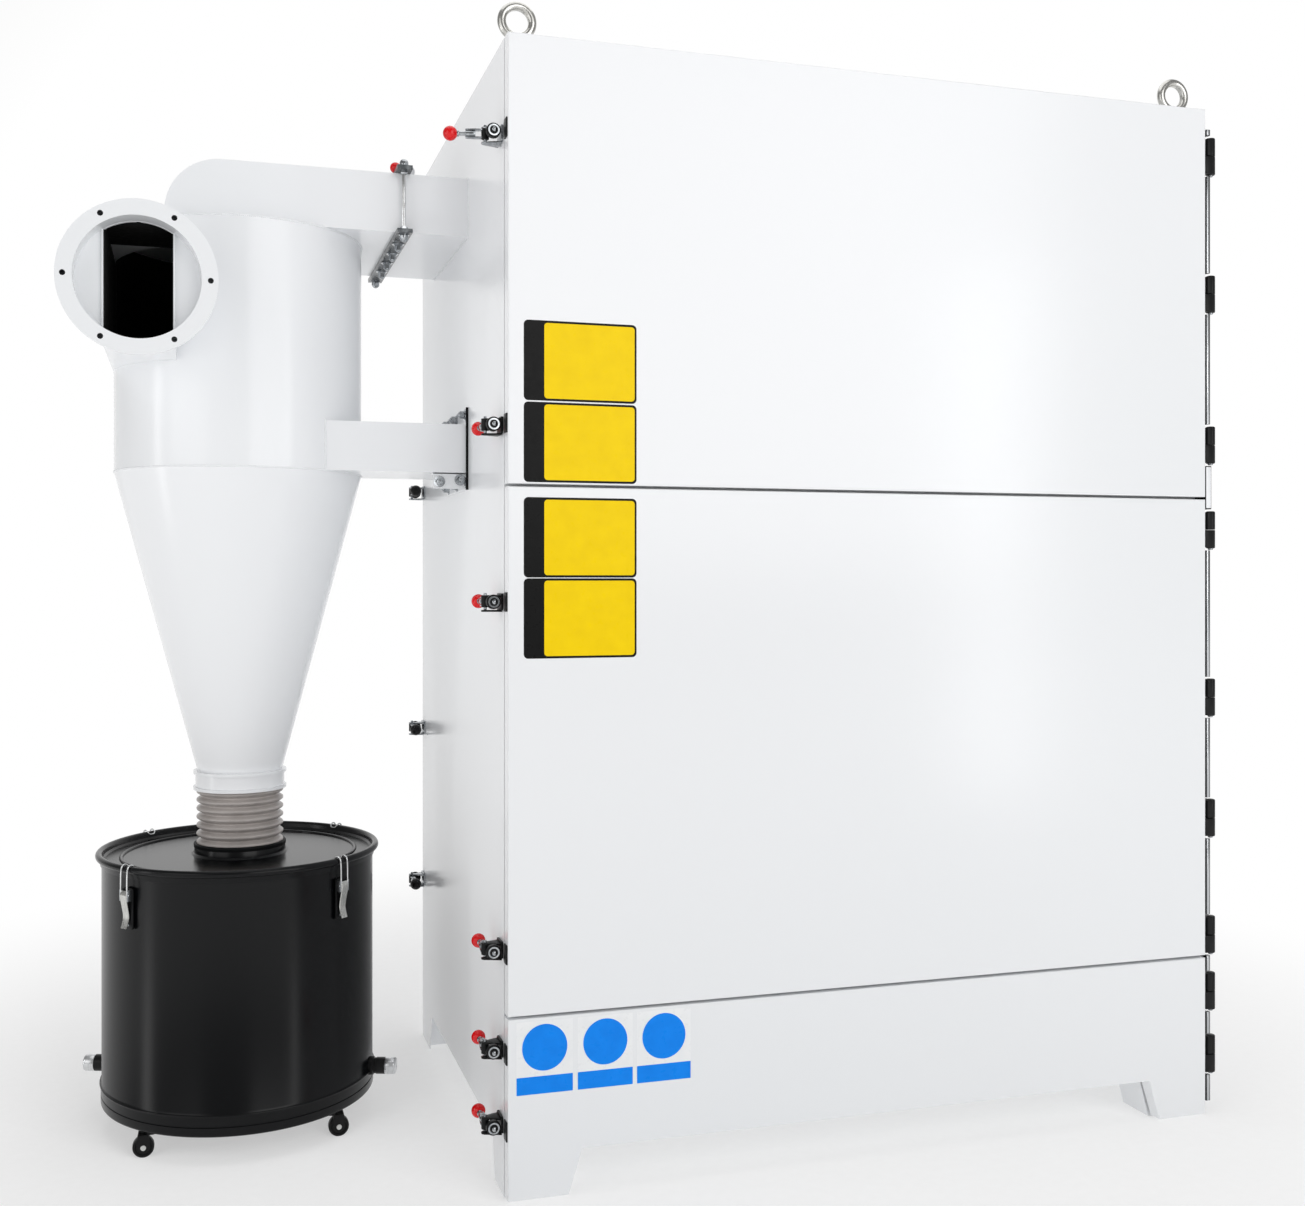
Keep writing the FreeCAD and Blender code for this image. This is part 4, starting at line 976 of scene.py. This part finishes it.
frame_halves = []
for door, heights in HINGES.items():
    door_halves = []
    for height in heights:
        z = height * MM
        door_halves += [
            (block((leaf_x, pivot.y - KNUCKLE, z - HALF_HINGE),
                   (pivot.x, pivot.y + KNUCKLE, z - PIN_SPLIT), HINGE_EDGE, 3), black_cast),
            (knuckle(z - 0.5 * MM, z - 38 * MM, KNUCKLE), black_cast),
            (turned(mm((0, 0), (5, 0), (5, 2), (4, 3.4), (0, 3.6)),
                    (pivot.x, pivot.y, z - 37.5 * MM), 24, (0, 0, -1)), zinc)]
        frame_halves += [
            (block((pivot.x - 13 * MM, pivot.y - 8.6 * MM, z + PIN_SPLIT),
                   (pivot.x, pivot.y + 8.6 * MM, z + HALF_HINGE), HINGE_EDGE, 3), black_cast),
            (block((pivot.x - 6 * MM, pivot.y, z + 0.8 * MM),
                   (pivot.x + 8.6 * MM, frame_back, z + HALF_HINGE), HINGE_EDGE, 3), black_cast),
            (knuckle(z + 0.5 * MM, z + 38 * MM, KNUCKLE), black_cast)]
    piece(f"{door}_hinge_castings", door_halves, door, [f"{door}_hinge_leaves"])
piece("frame_hinge_castings", frame_halves, "cabinet", ["frame_hinge_leaves"])
print("hinges:", sum(len(heights) for heights in HINGES.values()))

# %% Cover strip beside the doors
SEAL_LEFT, SEAL_RIGHT, HINGE_GAP = 1.6 * MM, 1.8 * MM, 42 * MM
strip_low, strip_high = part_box("hinge_strip")
door_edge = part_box("upper_door")[1].x
cover_front, cover_back = door_face + 2 * MM, strip_low.y
cover_left, cover_right = door_edge + 3.2 * MM, door_edge + 13 * MM
breaks = sorted(height * MM for heights in HINGES.values() for height in heights)
gaps = [(low + HINGE_GAP, high - HINGE_GAP) for low, high in zip(breaks, breaks[1:])]
gaps = [(strip_low.z + 10 * MM, breaks[0] - HINGE_GAP)] + gaps + [(breaks[-1] + HINGE_GAP, strip_high.z)]
covers, seals = [], []
tab_low, tab_high = mm(1238, 1322)
for low, high in gaps:
    if low < tab_high and high > tab_low:
        continue
    covers.append((block((cover_left + SEAL_LEFT, cover_front, low),
                         (cover_right - SEAL_RIGHT, cover_back, high), 0.5 * MM), stainless))
    seals += [(block((cover_left, cover_front + 0.6 * MM, low),
                     (cover_left + SEAL_LEFT, cover_back, high), 0.4 * MM), epdm),
              (block((cover_right - SEAL_RIGHT, cover_front + 0.6 * MM, low),
                     (cover_right, cover_front + 8 * MM, high), 0.4 * MM), epdm)]
piece("edge_cover", covers, "cabinet")
piece("edge_seal", seals, "cabinet")
tab = [(block((cover_left, cover_front - 0.6 * MM, tab_low), (cover_right + 1.6 * MM, cover_back, tab_high),
              0.8 * MM), white_coat),
       (block((cover_left - 1 * MM, cover_front + 0.8 * MM, tab_low - 2 * MM),
              (cover_right + 3.4 * MM, cover_back, tab_high + 2 * MM), 0.6 * MM), epdm)]
piece("seam_tab", tab, "cabinet")
print("cover strip:", len(covers), "lengths")

# %% [markdown]
# ## Plates on the doors
# Four yellow plates and three blue discs on white are fixed to the doors.  They are left blank here, so
# only their coloured fields are made: a thin film with rounded corners, and fields laid on it.

# %% Blank plates
def film(low, high, radius, lift_mm, finish):
    """Thin film of (x, z) corners that stands lift_mm proud of the door's face."""
    form = cut_plate(rounded_outline(low, high, radius), lift_mm * MM)
    return moved(form, (0, door_face - lift_mm * MM, 0)), finish


def disc(centre, radius, lift_mm, finish):
    outline = arc(centre, radius, 0, 360, 64)[:-1]
    return moved(cut_plate(outline, lift_mm * MM), (0, door_face - lift_mm * MM, 0)), finish


plates_left = cabinet.x + 28 * MM
PLATE_WIDTH, PLATE_HEIGHT, BAND = 207 * MM, 141 * MM, 37 * MM
PLATES = {"upper_door": (1.407, 1.2635), "middle_door": (1.096, 0.9535)}
for door, bottoms in PLATES.items():
    films = []
    for bottom in bottoms:
        left, right, top = plates_left, plates_left + PLATE_WIDTH, bottom + PLATE_HEIGHT
        films += [film((left, bottom), (right, top), 8 * MM, 0.18, sign_black),
                  film((left + BAND, bottom + 4 * MM), (right - 3.5 * MM, top - 4 * MM), 6 * MM, 0.26,
                       sign_yellow)]
    piece(f"{door}_plates", films, door)
films = []
signs_left = cabinet.x + 15 * MM
for k, left in enumerate((signs_left, signs_left + 111 * MM, signs_left + 221 * MM)):
    right, bottom, top = left + 102 * MM, 0.189, 0.317
    films += [film((left, bottom), (right, top), 1 * MM, 0.12, sign_white),
              disc(((left + right) / 2, top - 47 * MM), 41 * MM, 0.2, sign_blue),
              film((left, bottom), (right, bottom + 31 * MM), 1 * MM, 0.2, sign_blue)]
piece("lower_door_plates", films, "lower_door")
print("plates: 4 yellow, 3 blue")

# %% [markdown]
# ## Duct joint and support arm
# The clean-air duct is split beside the cabinet.  Two bars are drawn together by chromed tie rods with cap
# nuts, and bolts stand under the lower bar.  The arm's flange has a thin black front edge and a small
# bracket.

# %% Tie rods, knobs and the arm's bracket
bars_low, bars_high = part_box("duct_joint_bars")
ties_low, ties_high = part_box("duct_tie_rods")
tie_x = (ties_low.x + ties_high.x) / 2
cap_nut = mm((0, 0), (10.5, 0), (10.5, 2), (7.6, 2.2), (8.6, 3.2), (8.6, 8.5), (7.4, 11.5), (5, 14),
             (2.4, 15.2), (0, 15.6))
ties = []
for y in (ties_low.y + 5 * MM, ties_high.y - 5 * MM):
    ties.append((bar((tie_x, y, bars_low.z), (tie_x, y, bars_high.z), 4.4 * MM, 24), bright))
    for z, side in ((bars_high.z, 1), (bars_low.z, -1)):
        ties.append((turned(cap_nut, (tie_x, y, z), 32, (0, 0, side)), chrome))
    for z, side in ((bars_high.z - 8 * MM, -1), (bars_low.z + 8 * MM, 1)):
        ties.append((turned(mm((0, 0), (7.5, 0), (7.5, 6), (0, 6)), (tie_x, y, z), 6,
                            (0, 0, side)), chrome))
knob_at = Vector((tie_x - 11 * MM, ties_low.y + 46 * MM, bars_high.z + 9 * MM))
ties += [(ball(knob_at, 11 * MM), red_phenolic),
         (bar(knob_at - Vector((0, 0, 16 * MM)), knob_at, 4 * MM), chrome)]
wheel_at = Vector((tie_x + 17 * MM, ties_low.y + 60 * MM, bars_high.z + 8 * MM))
wheel = mm((0, -4), (10, -4), (12, -3), (12, 3), (10, 4), (0, 4))
ties += [(turned(wheel, wheel_at, 40, (0.2, -1, 0)), aluminium),
         (bar(wheel_at - Vector((0, 0, 16 * MM)), wheel_at, 4 * MM), chrome)]
piece("duct_ties", ties, "cabinet", ["duct_tie_rods"])
span = bars_high.y - bars_low.y
for name, z, side, shares in (("joint_bolts_below", bars_low.z, -1, (0.2, 0.38, 0.56, 0.74)),
                              ("joint_bolts_above", bars_high.z, 1, (0.38, 0.56, 0.74))):
    bolts(name, [(tie_x, bars_low.y + span * share, z) for share in shares], (0, 0, side), 13, 9, 0.8, chrome)
bracket_low = (flange_low.x - 66 * MM, arm_low.y + 4 * MM, arm_low.z - 32 * MM)
bracket = [(block(bracket_low, (flange_low.x, bracket_low[1] + 3 * MM, arm_low.z), 0.6 * MM), white_coat),
           (block((bracket_low[0], bracket_low[1], arm_low.z - 3 * MM),
                  (flange_low.x, bracket_low[1] + 42 * MM, arm_low.z), 0.6 * MM), white_coat)]
piece("arm_bracket", bracket, "cabinet")
bolts("arm_bracket_bolts", [(bracket_low[0] + 12 * MM, bracket_low[1], arm_low.z - 18 * MM),
                            (flange_low.x - 12 * MM, bracket_low[1], arm_low.z - 14 * MM)],
      (0, -1, 0), 12, 8, 0.8, chrome)
# A thin black strip along the front edge of the arm's flange.
piece("arm_flange_dark_edge", [(block((flange_low.x - 2 * MM, flange_low.y - 2.4 * MM, flange_low.z),
                                 (flange_high.x, flange_low.y, flange_high.z), 0.5 * MM), epdm)],
      "cabinet")
print("duct joint and arm dressed")

# %% [markdown]
# ## Inside the inlet
# Dusty air enters through the flange, passes a rectangular mouth and runs along the barrel's wall.  Little
# light reaches in there, so thin near-black sheets just inside the walls are painted shade.

# %% Painted shade inside the inlet, and the mouth's edges
mouth_back = spigot_high.y
in_low = Vector((inlet_low.x + 3.4 * MM, mouth_back - 1 * MM, inlet_low.z + 3.4 * MM))
in_high = Vector((inlet_high.x - 3.4 * MM, axis.y, inlet_high.z - 3.4 * MM))
SHEET = 1.2 * MM
near_wall, near_side = axis.y - 195 * MM, axis.y - 205 * MM
# Near-black sheets inside the inlet's walls and round the barrel paint the shade that lies there.
INLET_SHADE_SHEETS = ((in_low, (in_low.x + SHEET, in_high.y, in_high.z)),
          (in_low, (in_high.x, near_wall, in_low.z + SHEET)),
          ((in_low.x, in_low.y, in_high.z - SHEET), (in_high.x, near_wall, in_high.z)),
          ((in_high.x - SHEET, in_low.y, in_low.z), (in_high.x, near_side, in_high.z)))
inlet_shade_sheets = [block(low, high, 0.3 * MM) for low, high in INLET_SHADE_SHEETS]
shell = barrel_radius - 4 * MM
sweep = [math.radians(-96 + 276 * k / 90) for k in range(91)]
barrel_shade_sheet = bmesh.new()
rows = [[barrel_shade_sheet.verts.new((axis.x + r * math.cos(t), axis.y + r * math.sin(t), z))
         for r, z in ((shell, barrel_low.z + 4 * MM), (shell, barrel_high.z - 4 * MM),
                      (shell - SHEET, barrel_high.z - 4 * MM), (shell - SHEET, barrel_low.z + 4 * MM))]
        for t in sweep]
for lower, upper in zip(rows, rows[1:]):
    for k in range(4):
        barrel_shade_sheet.faces.new((lower[k], lower[(k + 1) % 4], upper[(k + 1) % 4], upper[k]))
barrel_shade_sheet.faces.new(rows[0])
barrel_shade_sheet.faces.new(rows[-1])
piece("painted_shade_sheets", [(form, painted_shade_black) for form in inlet_shade_sheets + [barrel_shade_sheet]], "cabinet")
HALF_MOUTH, EDGE = 58 * MM, 3 * MM
strip_z = math.sqrt((spigot_radius - 4 * MM) ** 2 - HALF_MOUTH ** 2)
edges = [block((mouth.x + left, spigot_high.y - 9 * MM, mouth.z - strip_z),
               (mouth.x + left + EDGE, spigot_high.y - 5 * MM, mouth.z + strip_z), 0.8 * MM)
         for left in (-HALF_MOUTH - EDGE, HALF_MOUTH)]
piece("mouth_edges", [(form, white_coat) for form in edges], "cabinet")
# Lined here means covered with the near-black sheets of painted shade.
print("inlet lined")

# %% [markdown]
# ## Stage, light and camera
# A plain pale floor and large soft lights, as in a studio, so that the white sheets keep their edges.  Two
# tall narrow lights draw the upright streaks that show a cylinder is round and its paint is glossy.  The
# floor glows more the farther it is from the middle, until it meets the white background, and the
# background is white only behind the object, so that the object's sides have something darker to mirror.

# %% Camera
CAMERA_OFFSET = Vector((-0.523, -2.399, 1.092))
CAMERA_TURN, FOCAL_LENGTH, SHIFT = -0.285, 38.71, (0.0349, -0.0178)
camera_data = bpy.data.cameras.new("camera")
camera = bpy.data.objects.new("camera", camera_data)
bpy.context.scene.collection.objects.link(camera)
camera.location = Vector((cabinet.x, door_face, 0.0)) + CAMERA_OFFSET
camera.rotation_euler = (math.radians(90), 0, CAMERA_TURN)
camera_data.sensor_width = 36.0
camera_data.lens = FOCAL_LENGTH
camera_data.shift_x, camera_data.shift_y = SHIFT
bpy.context.scene.camera = camera
print("camera at", [round(v, 3) for v in camera.location])

# %% Soft lights
def soft_light(name, place, target, size, power):
    """Rectangular area light of that size in metres and power in watts, aimed at a target."""
    data = bpy.data.lights.new(name, "AREA")
    data.shape = "RECTANGLE"
    data.size, data.size_y = size
    data.energy = power
    light = bpy.data.objects.new(name, data)
    bpy.context.scene.collection.objects.link(light)
    light.location = place
    light.rotation_euler = (Vector(target) - Vector(place)).to_track_quat("-Z", "Y").to_euler()


BARREL_MIDDLE = (-0.8, 0.086, 1.2)
soft_light("left_window", (-4.2, -3.0, 2.4), (0, 0, 1.0), (3.0, 3.0), 30)
soft_light("front_window", (1.6, -5.0, 2.6), (0.2, 0, 1.0), (3.6, 3.0), 70)
soft_light("left_strip", (-4.2, -0.64, 1.2), BARREL_MIDDLE, (0.45, 2.6), 12)
soft_light("right_strip", (2.55, -3.63, 1.3), BARREL_MIDDLE, (0.4, 2.4), 9)
soft_light("ceiling", (0.0, 0.0, 4.6), (0, 0, 0), (4.0, 4.0), 55)
print("lights:", len(bpy.data.lights))

# %% Floor and background
HALF_FLOOR, GLOW_STARTS, GLOW_FULL = 14.0, 1.0, 2.6
floor_mesh = bpy.data.meshes.new("floor")
corners = [(-1, -1), (1, -1), (1, 1), (-1, 1)]
floor_mesh.from_pydata([(x * HALF_FLOOR, y * HALF_FLOOR, 0) for x, y in corners], [], [(0, 1, 2, 3)])
floor = bpy.data.objects.new("floor", floor_mesh)
bpy.context.scene.collection.objects.link(floor)
floor_material, floor_tree, floor_place = new_material("matt_studio_floor")
matt = add(floor_tree, "ShaderNodeBsdfDiffuse", {
    "Color": tinted(floor_tree, floor_place, "#FDFDFD", "#FAFAFA", 20.0), "Roughness": 0.8})
lit = add(floor_tree, "ShaderNodeEmission", {"Color": (1.0, 1.0, 1.0, 1.0), "Strength": 1.0})
distance = add(floor_tree, "ShaderNodeVectorMath", {0: floor_place}, operation="LENGTH")
far_away = add(floor_tree, "ShaderNodeMapRange", {
    "Value": distance.outputs["Value"], "From Min": GLOW_STARTS, "From Max": GLOW_FULL,
    "To Min": 0.45, "To Max": 1.0}, interpolation_type="SMOOTHSTEP")
close(floor_tree, add(floor_tree, "ShaderNodeMixShader", {
    "Fac": far_away.outputs["Result"], 1: matt.outputs[0], 2: lit.outputs[0]}))
floor_mesh.materials.append(floor_material)
world = bpy.data.worlds.new("studio")
bpy.context.scene.world = world
world.use_nodes = True
sky = world.node_tree
BEHIND = (0.34, 0.94, 0.0)
direction = add(sky, "ShaderNodeTexCoord").outputs["Generated"]
towards_back = add(sky, "ShaderNodeVectorMath", {0: direction, 1: BEHIND}, operation="DOT_PRODUCT")
glow = add(sky, "ShaderNodeMapRange", {"Value": towards_back.outputs["Value"], "From Min": 0.3,
                                       "From Max": 0.86, "To Min": 0.3, "To Max": 1.0})
sky.nodes["Background"].inputs["Color"].default_value = (1.0, 1.0, 1.0, 1.0)
sky.links.new(glow.outputs["Result"], sky.nodes["Background"].inputs["Strength"])
bpy.context.scene.view_settings.view_transform = "Standard"
print("floor:", 2 * HALF_FLOOR, "m across")
